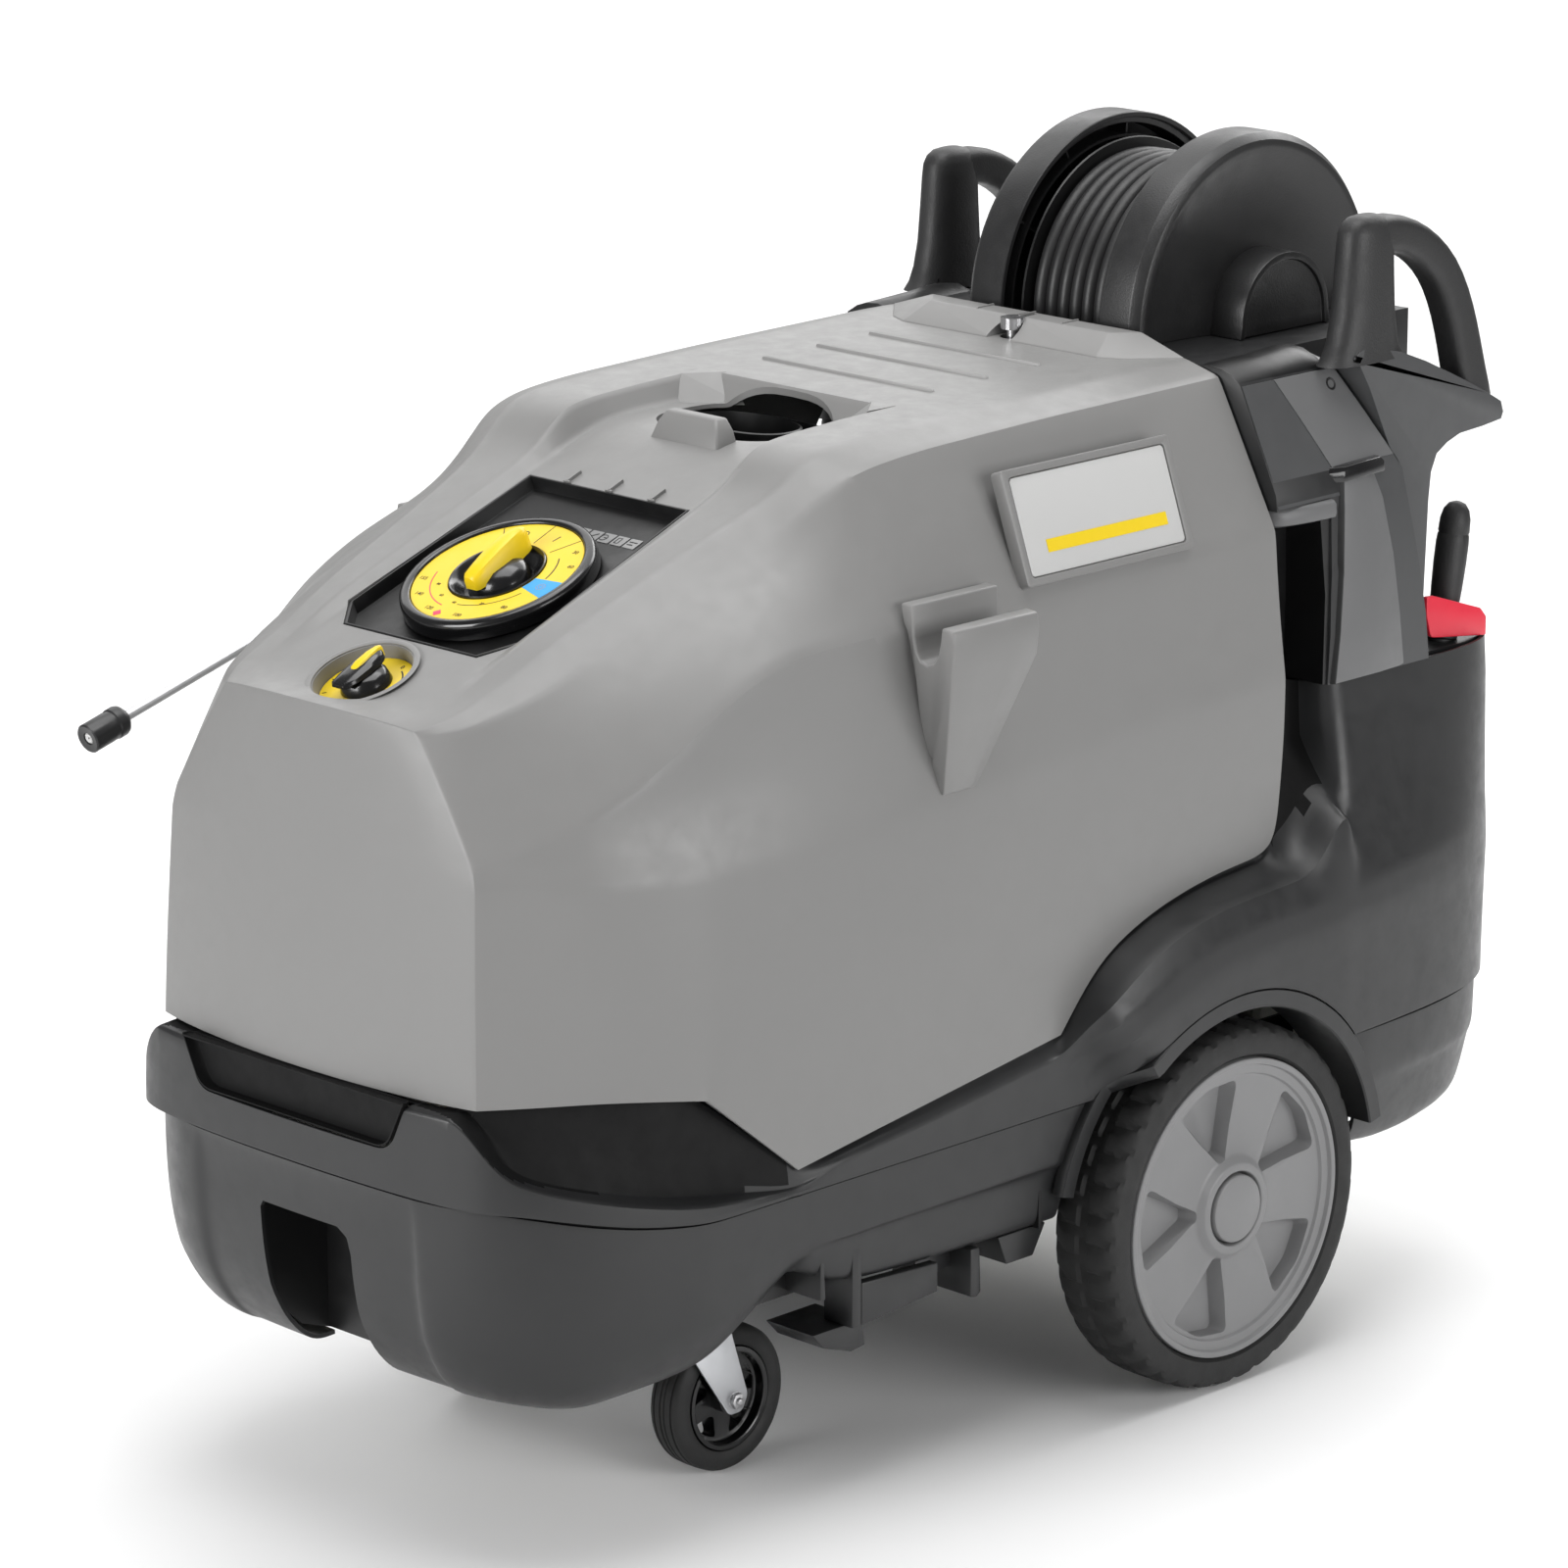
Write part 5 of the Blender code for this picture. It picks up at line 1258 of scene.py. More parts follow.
def build_underside(look):
    """Brackets, ribs and channels under the base, between the casters and the rear wheels."""
    for side, label in SIDES:
        pieces = [side_plate(side, outline, x0, x1) for outline, x0, x1 in UNDER_BRACKETS]
        obj = bevelled(add_mesh("under_brackets_" + label, merge(*pieces)), .0016, 2, 40)
        finish_piece(obj, look["shell"], "machine")


# ---------------------------------------------------------------- rear body, handles, reel

REAR_WALL = [(.600, .3130), (.700, .3140), (.760, .3120), (.845, .3030), (.944, .2560), (1.00, .2300)]


def rear_wall_x(z):
    """Half width of the upper rear moulding."""
    return lerp_table(REAR_WALL, z)


def wall_panel(name, side, rows, lift, depth=.006):
    """Thin panel lying on the leaning side wall; each row is (z, y start, y end)."""
    rings = []
    for z, y0, y1 in rows:
        x = rear_wall_x(z)
        rings.append([(side * (x - depth), y0, z), (side * (x - depth), y1, z), (side * (x + lift), y1, z),
                      (side * (x + lift), y0, z)])
    return add_mesh(name, loft(rings))


def build_rear_body(look):
    """Upper rear moulding with the reel well, then the pieces on its sides."""
    half = [(.150, .953), (.2140, .9565), (.2330, .9545), (.2465, .9500), (.2560, .9440), (.3030, .8450),
            (.3120, .7600), (.3140, .7000), (.3130, SHELF + .0006)]
    section = [(-x, z) for x, z in reversed(half)] + half
    body = add_mesh("rear_body_shell", plate("XZ", section, .2985, .700))
    tub = [(.20, .60), (.20, 1.0), (.667, 1.0), (.667, .900), (.640, .760), (.600, .60)]
    cut(body, plate("YZ", tub, -.50, .50), operation="INTERSECT")
    tools = []
    for side in (-1, 1):
        outside = [(.3800, 1.1), (.3960, .975), (.4210, .9600), (.4420, .9260), (.4800, .8520),
                   (.5110, .6920), (.5170, .55), (.80, .55), (.80, 1.1)]
        tools.append(side_plate(side, outside, .205, .50))
        pocket = [(.285, .55), (.285, .8220), (.2950, .8300), (.3700, .8300), (.3760, .8240),
                  (.3700, .7400), (.3640, SHELF - .1)]
        tools.append(side_plate(side, pocket, .258, .40))
        tools.append(side_block(side, (.1550, .5850, SHELF + .004), (.50, .80, 1.10)))
    tools.append(plate("XZ", [(-.150, .55), (.150, .55), (.150, .949), (-.150, .949)], .303, .594))
    tools.append(rod((-.0636, REEL_Y, REEL_Z), (.0636, REEL_Y, REEL_Z), .162, 72))
    cut(body, *tools)
    bevelled(body, .0022, 2, 40)
    finish_piece(body, look["shell"], "machine", ("rear_body",), angle=36)
    for side, label in SIDES:
        build_rear_side(side, label, look)


def build_rear_side(side, label, look):
    """Dark top band, two facet panels painted as a shaded and a lit face, pocket with its shelf, and the
    tapering column.
    """
    rows = []
    for y, rise in ((.2990, 0.0), (.3600, .003), (.3980, .006), (.4160, .004), (.4220, .000)):
        section = [(.1980, .9500), (.1980, .9545), (.2160, .9575 + rise), (.2320, .9560 + rise),
                   (.2450, .9515 + rise * .8), (.2540, .9455 + rise * .4), (.2562, .9430), (.2450, .9400)]
        rows.append([(side * x, y, z) for x, z in section])
    band = bevelled(add_mesh("rear_band_" + label, loft(rows)), .0012, 2, 40)
    finish_piece(band, look["black"], "machine", angle=40)
    # painted light: both facet panels lie flat on the one wall; the darker grey paints a face turned from the
    # light, the lighter grey a lit face
    dark = [(.9425, .3000, .3450), (.9000, .3000, .3660), (.8600, .3000, .3840), (.8320, .3000, .3960)]
    finish_piece(wall_panel("rear_facet_painted_dark_" + label, side, dark, .0006), look["facet"], "machine")
    lit = [(.9425, .3450, .4310), (.9000, .3660, .4540), (.8580, .3850, .4745)]
    finish_piece(wall_panel("rear_facet_painted_lit_" + label, side, lit, .0014), look["light"], "machine")
    back = [(.8578, .4000, .4745), (.8450, .4400, .4810), (.7600, .4400, .4970), (.7000, .4400, .5090),
            (SHELF + .0010, .4400, .5160)]
    finish_piece(wall_panel("rear_flank_" + label, side, back, .0010), look["facet"], "machine")
    build_pocket(side, label, look)
    build_column(side, label, look)
    place = Matrix.Translation((side * (rear_wall_x(.9290) + .0012), .4200, .9290)) @ turn_to((side, 0, .46))
    hole = spun([(0, -.0006), (.0034, -.0002), (.0046, .0006), (.0060, .0008), (.0064, .0002),
                 (.0064, -.004), (0, -.004)], place, 32)
    finish_piece(add_mesh("cover_screw_" + label, hole), look["print"], "machine")


def build_pocket(side, label, look):
    """Shelf with a rounded lip over an open pocket whose near-black back and side are painted shade."""
    rows = []
    for y, x in ((.2990, .2890), (.3030, .2970), (.3110, .3035), (.3300, .3080), (.3500, .3105),
                 (.3760, .3120)):
        rows.append([(side * .2500, y, .8130), (side * (x - .007), y, .8120), (side * (x - .001), y, .8145),
                     (side * x, y, .8190), (side * (x - .0005), y, .8270), (side * (x - .004), y, .8305),
                     (side * (x - .012), y, .8310), (side * .2500, y, .8290)])
    lip = add_mesh("pocket_lip_" + label, loft(rows))
    finish_piece(lip, look["light"], "machine", angle=50)
    # painted shade: near-black sheets stand for the shadow inside the open pocket
    inside = side_plate(side, [(.2990, SHELF + .001), (.2990, .8165), (.3780, .8165), (.3700, SHELF + .001)],
                        .2540, .2600)
    finish_piece(add_mesh("pocket_back_" + label, inside), look["black"], "machine")
    deep = [(.8160, .3640, .3790), (.7400, .3660, .3740), (SHELF + .001, .3640, .3700)]
    rings = [[(side * .2560, y0, z), (side * .2560, y1, z), (side * (rear_wall_x(z) - .002), y1, z),
              (side * (rear_wall_x(z) - .004), y0, z)] for z, y0, y1 in deep]
    finish_piece(add_mesh("pocket_side_" + label, loft(rings)), look["black"], "machine")


def build_column(side, label, look):
    """Column rising from the seam: pale tapering face, black cap and black front flank."""
    levels = [(SHELF + .0010, .3730, .4840), (.7000, .3780, .4760), (.7600, .3835, .4660),
              (.8200, .3900, .4540), (.8480, .3930, .4480)]
    rings = []
    for z, y0, y1 in levels:
        x = rear_wall_x(z)
        rings.append([(side * (x - .030), y0 + .001, z), (side * (x - .030), y1, z),
                      (side * (x + .0005), y1, z), (side * (x + .0042), y0 + .60 * (y1 - y0), z),
                      (side * (x + .0042), y0, z)])
    face = bevelled(add_mesh("column_face_" + label, loft(rings)), .0018, 2, 30)
    finish_piece(face, look["light"], "machine", angle=36)
    flank = []
    for z, y0, _ in levels:
        x = rear_wall_x(z)
        front = lerp_table([(SHELF, .004), (.80, .010), (.826, .022), (.848, .014)], z)
        flank.append([(side * (x - .034), y0 - front, z), (side * (x - .034), y0 + .0015, z),
                      (side * (x + .0040), y0 + .0010, z), (side * (x + .0020), y0 - .0015, z),
                      (side * (x - .010), y0 - front, z)])
    finish_piece(add_mesh("column_flank_" + label, loft(flank)), look["black"], "machine", angle=50)
    caps = []
    x = rear_wall_x(.848)
    for z, grow, shrink in ((.8440, .0012, 0), (.8540, .0008, .0005), (.8590, -.0020, .0040)):
        caps.append([(side * (x - .034), .3740 + shrink, z), (side * (x - .034), .4540 - shrink, z + .002),
                     (side * (x + .0040 + grow), .4530 - shrink, z + .002),
                     (side * (x + .0048 + grow), .3920 + shrink, z),
                     (side * (x - .006 + grow), .3740 + shrink, z)])
    cap = bevelled(add_mesh("column_cap_" + label, loft(caps)), .0016, 2, 30)
    finish_piece(cap, look["gloss"], "machine", angle=36)


BAR_PATH = [(.448, 1.0600), (.465, 1.0650), (.490, 1.0670), (.518, 1.0590), (.545, 1.0430), (.568, 1.0220),
            (.586, .9930), (.599, .9600), (.609, .9250), (.618, .8950), (.626, .8740)]
HORN = [(.4230, .9560), (.4300, .9630), (.4400, .9655), (.4540, .9640), (.4930, .9540), (.5300, .9400),
        (.5700, .9220), (.6000, .9080), (.6260, .8950), (.6480, .8830), (.6520, .8720), (.6490, .8650),
        (.6200, .8620), (.5850, .8600), (.5660, .8540), (.5500, .8450), (.5420, .8280), (.5390, .8000),
        (.5375, .7600), (.5355, .7100), (.5350, SHELF + .0020), (.5190, SHELF + .0020), (.5130, .6920),
        (.4830, .8520), (.4450, .9260), (.4240, .9590)]


def tapered_prism(outline, x0, x1, shrink):
    """Prism across X whose outer face is drawn in a little towards its own centre."""
    cy = sum(y for y, _ in outline) / len(outline)
    cz = sum(z for _, z in outline) / len(outline)
    small = [(cy + (y - cy) * shrink, cz + (z - cz) * shrink) for y, z in outline]
    return loft([[(x0, y, z) for y, z in outline], [(x1, y, z) for y, z in small]])


HANDLE_X = .2700


def handle_bar(side):
    """Bar of a loop handle, swept along its path with a section that swells towards the ends."""
    rows = []
    last = len(BAR_PATH) - 1
    for i, (y, z) in enumerate(BAR_PATH):
        before = BAR_PATH[max(0, i - 1)]
        after = BAR_PATH[min(last, i + 1)]
        along = Vector((after[0] - before[0], after[1] - before[1])).normalized()
        thick = lerp_table([(0, .0190), (.3, .0185), (.7, .0195), (1.0, .0220)], i / last)
        rows.append([(side * (HANDLE_X + u), y - along.y * v, z + along.x * v)
                     for u, v in superoval(.0180, thick, 3.2, 32)])
    return loft(rows)


def build_handles(look):
    """Loop handles: bar, post and horn, with a screw in each."""
    for side, label in SIDES:
        bar = add_mesh("handle_bar_" + label, handle_bar(side))
        mod = bar.modifiers.new("smooth", "SUBSURF")
        mod.levels = 1
        applied(bar)
        finish_piece(bar, look["rough"], "machine", ("handle_" + label,), angle=70)
        rows = []
        for z, y, half_y, half_x in ((.9480, .4560, .0560, .0220), (.9560, .4560, .0480, .0215),
                                     (.9700, .4570, .0420, .0215), (.9950, .4580, .0370, .0210),
                                     (1.0300, .4585, .0340, .0205), (1.0600, .4590, .0320, .0200),
                                     (1.0720, .4590, .0305, .0190), (1.0800, .4590, .0265, .0165),
                                     (1.0850, .4590, .0200, .0125), (1.0872, .4590, .0110, .0065)):
            rows.append([(side * (HANDLE_X + u), y + v, z) for u, v in superoval(half_x, half_y, 2.5, 36)])
        finish_piece(add_mesh("handle_post_" + label, loft(rows)), look["rough"], "machine", angle=60)
        low, high = side * .2520, side * .2905
        horn = bevelled(add_mesh("handle_horn_" + label, tapered_prism(HORN, low, high, .985)), .0032, 3, 40)
        finish_piece(horn, look["facet"], "machine", angle=40)
        plug = spun([(0, -.002), (.0030, -.002), (.0034, .0006), (0, -.0004)],
                    Matrix.Translation((side * .2862, .5780, 1.0100)) @ turn_to((side, 0, 0)), 24)
        finish_piece(add_mesh("handle_screw_" + label, plug), look["print"], "machine")


REEL_Y, REEL_Z = .490, .965


def reel_frame(side):
    """Frame at the reel's centre whose Z points outwards."""
    return Matrix.Translation((0, REEL_Y, REEL_Z)) @ turn_to((side, 0, 0))


def build_reel(look):
    """Half-round covers with their bosses and inner ribs, the spool and the hose."""
    for side, label in SIDES:
        build_reel_cover(side, label, look)
    spool = [(.0130, -.0600), (.1500, -.0600), (.1530, -.0590), (.1540, -.0575), (.1530, -.0560),
             (.1240, -.0560), (.1240, .0560), (.1530, .0560), (.1540, .0575), (.1530, .0590),
             (.1500, .0600), (.0130, .0600)]
    finish_piece(add_mesh("reel_spool", spun(spool, reel_frame(1), 96)), look["black"], "reel",
                 ("reel_drum",))
    build_hose(look)
    tab = bevelled(add_mesh("reel_tab_left", block((.100, .428, .9535), (.124, .470, .9570))), .0010, 2)
    finish_piece(tab, look["rim"], "machine")


def build_reel_cover(side, label, look):
    """One half-round cover, the boss outside it and the ribs inside it."""
    place = reel_frame(side)
    wall = [(.0000, .1090), (.0640, .1090), (.0900, .1040), (.1250, .1020), (.1480, .1065),
            (.1560, .1090), (.1620, .1115), (.1655, .1120), (.1700, .1105), (.1765, .1030),
            (.1770, .1010), (.1770, .0650), (.1762, .0640), (.1722, .0640), (.1715, .0650),
            (.1712, .0700), (.1660, .0705), (.1655, .0710), (.1650, .0960), (.1500, .1030),
            (.1200, .0975), (.0900, .0995), (.0000, .1040)]
    cover = add_mesh("reel_shroud_" + label, spun(wall, place, 112))
    cut(cover, block((-.3, .2, .70), (.3, .8, .9535)))
    finish_piece(cover, look["reel"], "machine", ("reel_cover_" + label,), angle=30)
    outline = [(.5560, .9534)] + circle(.0640, 60, (REEL_Y, .9670), 31) + [(.4240, .9534)]
    boss = add_mesh("reel_boss_" + label, side_plate(side, outline, .1050, .1480))
    small = [((y - REEL_Y) * .90 + REEL_Y, (z - .9534) * .90 + .9534 - (.002 if z < .954 else 0))
             for y, z in outline]
    cut(boss, side_plate(side, small, .1440, .1490))
    bevelled(boss, .0016, 2, 40)
    finish_piece(boss, look["reel"], "machine", angle=40)
    ribs = []
    for a in range(20, 180, 32):
        c, s = math.cos(math.radians(a)), math.sin(math.radians(a))
        rows = []
        for r in (.1080, .1700):
            y, z = REEL_Y + r * c, REEL_Z + r * s
            rows.append([(side * x, y + turn * .0012 * s, z - turn * .0012 * c)
                         for x, turn in ((.0760, -1), (.0760, 1), (.0985, 1), (.0985, -1))])
        ribs.append(loft(rows))
    ribs.append(spun([(.1520, .0700), (.1545, .0700), (.1545, .1000), (.1520, .1000)], place, 90))
    ring = add_mesh("reel_ribs_" + label, merge(*ribs))
    cut(ring, block((-.3, .2, .70), (.3, .8, .9540)))
    finish_piece(ring, look["reel"], "machine")


def build_hose(look):
    """Hose laid on the drum in touching turns."""
    turns, steps, radius, thick = 7, 72, .1370, .0078
    first_lane, lane_width, last_lane, crossing = -.0466, .0156, .0470, .15
    data = bpy.data.curves.new("hose", "CURVE")
    data.dimensions = "3D"
    data.bevel_depth = thick
    data.bevel_resolution = 4
    data.use_fill_caps = True
    line = data.splines.new("POLY")
    count = turns * steps
    line.points.add(count)
    for i in range(count + 1):
        lane = i / steps
        a = math.tau * lane
        shift = max(0.0, min(1.0, (lane % 1 - 1 + crossing) / crossing))
        x = min(first_lane + lane_width * (math.floor(lane) + shift), last_lane)
        line.points[i].co = (x, REEL_Y + radius * math.cos(a), REEL_Z + radius * math.sin(a), 1)
    finish_piece(add_mesh("hose_turns", curve_mesh(data)), look["hose"], "reel", ("hose_winding",), angle=80)


# ---------------------------------------------------------------- wheels and casters

def soft_corners(points, radii, steps=6):
    """A closed outline with each corner rounded by its own radius."""
    outline = []
    count = len(points)
    for i, (point, radius) in enumerate(zip(points, radii)):
        here = Vector(point)
        before = (Vector(points[i - 1]) - here).normalized()
        after = (Vector(points[(i + 1) % count]) - here).normalized()
        half = before.angle(after) / 2
        reach = radius / math.tan(half)
        start, end = here + before * reach, here + after * reach
        for k in range(steps + 1):
            t = k / steps
            outline.append(tuple(start * (1 - t) ** 2 + here * 2 * t * (1 - t) + end * t * t))
    return outline


def wheel_pocket(place, turn, reach, apex, half_angle, outer_face, floor, soft):
    """Cutter for the space between two spokes, narrowing towards its floor."""
    rows = []
    for level, shrink in ((outer_face, 0.0), (floor, 1.0)):
        a = math.radians(half_angle - 4.5 * shrink)
        r0, r1 = apex + .009 * shrink, reach - .0015 * shrink
        corner = [(r0, -r0 * .10), (r1 * math.cos(a), -r1 * math.sin(a)), (r1 * 1.02, 0),
                  (r1 * math.cos(a), r1 * math.sin(a)), (r0, r0 * .10)]
        ring = soft_corners(corner, (soft * .5, soft * .6, reach * .30, soft * .6, soft * .5))
        rows.append([(a_, b_, level) for a_, b_ in ring])
    spin = Matrix.Rotation(math.radians(turn), 4, "Z")
    return placed(loft(rows), place @ spin)


def disc_place(side, x, y, z):
    """Frame whose Z points outwards along the axle and whose X points to the rear."""
    return Matrix(((0, 0, side, x), (1, 0, 0, y), (0, 1, 0, z), (0, 0, 0, 1)))


def build_wheel(side, label, look):
    place = disc_place(side, side * .313, .205, .178)
    body = "wheel_" + label
    disc = [(0, .0255), (.0335, .0255), (.0345, .0270), (.0362, .0372), (.0372, .0380), (.0430, .0380),
            (.0452, .0368), (.0490, .0322), (.0530, .0300), (.0900, .0298), (.1265, .0296), (.1290, .0300),
            (.1305, .0330), (.1385, .0335), (.1398, .0372), (.1410, .0378), (.1448, .0378), (.1456, .0370),
            (.1458, -.0340), (.1300, -.0340), (.1260, -.0160), (.0500, -.0160), (.0400, -.0300),
            (.0150, -.0300), (.0150, -.0200), (0, -.0200)]
    rim = add_mesh("rim_disc_" + label, spun(disc, place, 120))
    pockets = [wheel_pocket(place, 34 + 72 * k, .1262, .046, 21.5, .045, .0130, .012) for k in range(5)]
    cut(rim, *pockets)
    bevelled(rim, .0010, 2, 40)
    finish_piece(rim, look["rim"], body, ("rim_" + label,), angle=34)
    cap = [(0, .0412), (.0300, .0408), (.0322, .0398), (.0330, .0382), (.0330, .0334), (0, .0334)]
    finish_piece(add_mesh("hub_disc_" + label, spun(cap, place, 64)), look["rim"], body,
                 ("hub_cap_" + label,))
    build_tread(label, look, place, body)


def build_tread(label, look, place, body):
    """Tyre with lateral sipes across the tread and notched shoulders."""
    lugs, fine = 38, 8
    profile = [(.1466, -.0330, 0, 0), (.1500, -.0375, 0, 0), (.1560, -.0386, 0, 0), (.1640, -.0384, 0, 0),
               (.1700, -.0370, .0006, .9), (.1742, -.0336, .0024, .8), (.1768, -.0280, .0034, .5),
               (.1778, -.0200, .0032, .2), (.1780, -.0070, .0030, .0), (.1780, -.0040, .0060, 0),
               (.1780, .0040, .0060, 0), (.1780, .0070, .0030, .0), (.1778, .0200, .0032, .2),
               (.1768, .0280, .0034, .5), (.1742, .0336, .0024, .8), (.1700, .0370, .0006, .9),
               (.1640, .0384, 0, 0), (.1560, .0386, 0, 0), (.1500, .0375, 0, 0), (.1466, .0330, 0, 0)]
    rows = []
    total = lugs * fine
    for i in range(total):
        row = []
        for r, x, depth, shift in profile:
            phase = (i / fine + shift * .55 + (.5 if x < 0 else 0)) % 1.0
            inside = max(0.0, min(1.0, (.34 - phase) / .14))
            groove = depth * inside if abs(x) > .005 else depth * .6
            a = math.tau * i / total
            row.append(((r - groove) * math.cos(a), (r - groove) * math.sin(a), x))
        rows.append(row)
    bm = grid(rows, True, True)
    tyre = add_mesh("tyre_tread_" + label, placed(bm, place))
    face_round(tyre, place.translation)
    finish_piece(tyre, look["rubber"], body, ("tyre_" + label,), angle=28)


def face_round(obj, centre):
    bm = bmesh.new()
    bm.from_mesh(obj.data)
    bmesh.ops.recalc_face_normals(bm, faces=bm.faces)
    bm.faces.ensure_lookup_table()
    top = max(bm.faces, key=lambda face: (face.calc_center_median() - centre).length)
    if (top.calc_center_median() - centre).dot(top.normal) < 0:
        bmesh.ops.reverse_faces(bm, faces=bm.faces)
    bm.to_mesh(obj.data)
    bm.free()


CASTER_X = .150
CASTER_WHEEL = (-.288, .070)


def build_caster(side, label, look):
    x = side * CASTER_X
    wheel_y, wheel_z = CASTER_WHEEL
    place = disc_place(side, x, wheel_y, wheel_z)
    wheel = "caster_wheel_" + label
    tread = [(.0506, -.0170), (.0530, -.0185), (.0600, -.0190), (.0655, -.0178), (.0682, -.0160),
             (.0694, -.0138), (.0696, -.0120), (.0684, -.0114), (.0684, -.0100), (.0698, -.0094),
             (.0700, -.0040), (.0688, -.0034), (.0688, -.0018), (.0700, -.0010)]
    tread = tread + [(r, -h) for r, h in reversed(tread)]
    tyre = spun(tread, place, 96)
    finish_piece(add_mesh("caster_tread_" + label, tyre), look["rubber"], wheel, ("caster_tyre_" + label,),
                 angle=28)
    disc = [(.0050, .0200), (.0130, .0200), (.0140, .0190), (.0142, .0080), (.0400, .0070), (.0430, .0080),
            (.0440, .0172), (.0452, .0180), (.0490, .0178), (.0500, .0160)]
    disc = disc + [(r, -h) for r, h in reversed(disc)]
    rim = add_mesh("caster_disc_" + label, spun(disc, place, 80))
    windows = [wheel_pocket(place, 18 + 72 * k, .0405, .0185, 26, .03, -.03, .006) for k in range(5)]
    cut(rim, *windows)
    bevelled(rim, .0006, 2, 40)
    finish_piece(rim, look["gloss"], wheel, ("caster_rim_" + label,), angle=34)
    body = "caster_" + label
    pivot_y = -.330
    pieces = []
    leg = soft_corners([(-.3585, .1480), (-.2960, .1480), (-.2715, .0720), (-.2790, .0570), (-.2960, .0570)],
                       (.004, .004, .012, .009, .010))
    for end in (-1, 1):
        low, high = sorted((x + end * .0222, x + end * .0247))
        pieces.append(plate("YZ", leg, low, high))
    crown = rounded(.0240, .0300, .006, 5, (x, pivot_y))
    pieces.append(plate("XY", crown, .1455, .1480))
    pieces.append(spun([(0, 0), (.0220, 0), (.0235, .0015), (.0235, .0070), (.0200, .0110), (0, .0110)],
                       Matrix.Translation((x, pivot_y, .1480)), 40))
    fork = bevelled(add_mesh("caster_yoke_" + label, merge(*pieces)), .0005, 2, 40)
    finish_piece(fork, look["zinc"], body, ("caster_fork_" + label,), angle=34)
    build_caster_bolt(x, side, label, look, body)


def build_caster_bolt(x, side, label, look, body):
    """Axle bolt: round head inside, nut with a threaded end outside."""
    wheel_y, wheel_z = CASTER_WHEEL
    place = disc_place(side, x, wheel_y, wheel_z)
    nut = placed(plate("XY", circle(.0080, 6), .0251, .0298), place)
    washer = spun([(.0035, .0248), (.0086, .0248), (.0086, .0253), (.0035, .0253)], place, 32)
    thread = [(0, -.0290), (.0058, -.0285), (.0062, -.0252), (.0040, -.0251), (.0040, .0290)]
    for i in range(4):
        h = .0292 + i * .0007
        thread += [(.0038, h), (.0034, h + .00035)]
    thread += [(.0028, .0324), (0, .0324)]
    bolt = merge(nut, washer, spun(thread, place, 28))
    piece = bevelled(add_mesh("caster_axle_" + label, bolt), .0004, 2, 40)
    finish_piece(piece, look["steel"], body, ("caster_bolt_" + label,), angle=30)


# ---------------------------------------------------------------- lance and spray gun

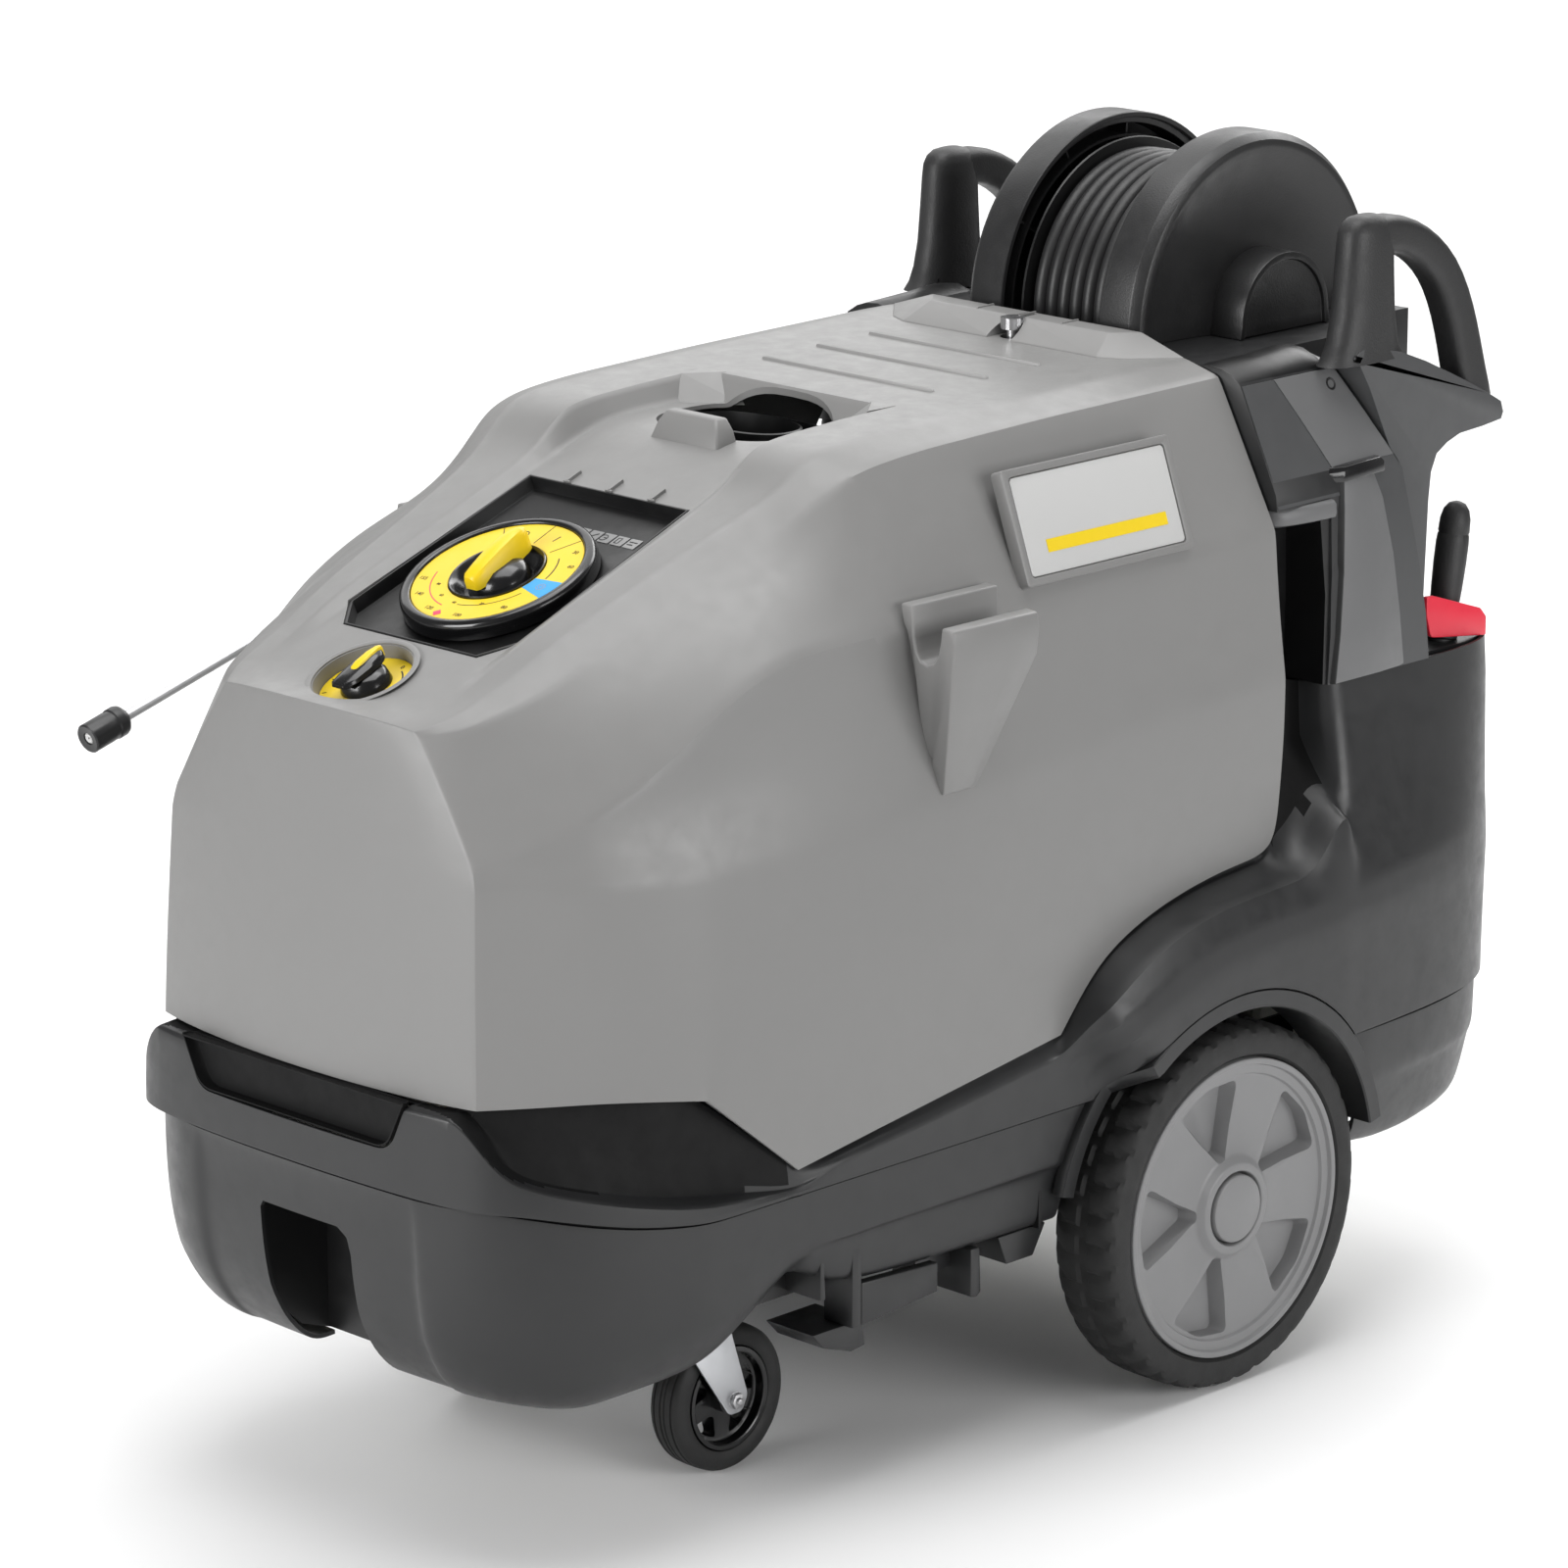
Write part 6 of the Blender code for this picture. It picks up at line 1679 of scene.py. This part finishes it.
def build_nozzle(look):
    """Six-flat sleeve on the lance end, ribbed, with a white jet insert."""
    rise = Vector((0, 1, .284)).normalized()
    mouth = Vector((-.335, -.6130, .6625))
    place = Matrix.Translation(mouth) @ turn_to(rise)
    sleeve = [(.0060, .0010), (.0105, .0004), (.0130, .0000), (.0142, .0014), (.0146, .0040),
              (.0146, .0260), (.0138, .0275), (.0138, .0300), (.0148, .0315), (.0148, .0390),
              (.0136, .0420), (.0090, .0460), (.0062, .0475), (.0062, .0300), (.0060, .0300)]
    steps = 48
    rows = []
    for i in range(steps):
        a = math.tau * i / steps
        flat = abs(math.cos(3 * a)) ** 6
        row = []
        for r, h in sleeve:
            dip = .0009 * flat if .0035 < h < .0265 and r > .0140 else 0.0
            row.append(((r - dip) * math.cos(a), (r - dip) * math.sin(a), h))
        rows.append(row)
    sleeve_piece = add_mesh("nozzle_sleeve", placed(grid(rows, True, True), place))
    face_round(sleeve_piece, mouth + rise * .02)
    finish_piece(sleeve_piece, look["shell"], "nozzle", ("lance_nozzle",), angle=30)
    jet = [(.0012, .0022), (.0040, .0014), (.0056, .0026), (.0058, .0080), (.0012, .0080)]
    finish_piece(add_mesh("nozzle_jet", spun(jet, place, 32)), look["white"], "nozzle")


GRIP_DEPTH = 1.026


def build_gun(look):
    """Ribbed rubber grip standing in its clip, with the red trigger lever beside it."""
    lean = Matrix.Rotation(-.16, 4, "X")
    place = Matrix.Translation((.268, .590, SHELF)) @ lean
    rows = []
    grip = [(.0125, -.064), (.0130, .000), (.0165, .002), (.0165, .014), (.0140, .020), (.0140, .030),
            (.0152, .050), (.0160, .075), (.0160, .094), (.0154, .1020), (.0148, .1030), (.0148, .1042),
            (.0154, .1052), (.0148, .1180), (.0125, .1270), (.0080, .1330), (.0020, .1352)]
    for r, z in grip:
        rows.append([(x, y * GRIP_DEPTH, z) for x, y in circle(r, 36)])
    piece = add_mesh("gun_grip", placed(loft(rows), place))
    finish_piece(piece, look["rough"], "gun", ("gun_body",), angle=36)
    lever = soft_corners([(.5405, SHELF + .0350), (.5480, SHELF + .0110), (.6330, SHELF - .0010),
                          (.6330, SHELF + .0180), (.6240, SHELF + .0280), (.5520, SHELF + .0520),
                          (.5405, SHELF + .0530)], (.004, .008, .002, .005, .006, .006, .003))
    trigger = add_mesh("trigger_lever", plate("YZ", lever, .2852, .2908))
    bevelled(trigger, .0012, 2, 40)
    finish_piece(trigger, look["red"], "trigger", ("gun_trigger",), angle=40)


# ---------------------------------------------------------------- run

LOOK = build_looks()
build_stage()
dress_cad(LOOK)
build_camera()
build_hood(LOOK)
build_panel(LOOK)
build_small_dial(LOOK)
build_filler(LOOK)
build_body_shell(LOOK)
build_tray(LOOK)
build_rear_body(LOOK)
build_handles(LOOK)
build_reel(LOOK)
build_nozzle(LOOK)
build_gun(LOOK)
for SIDE, LABEL in SIDES:
    build_wheel(SIDE, LABEL, LOOK)
    build_caster(SIDE, LABEL, LOOK)
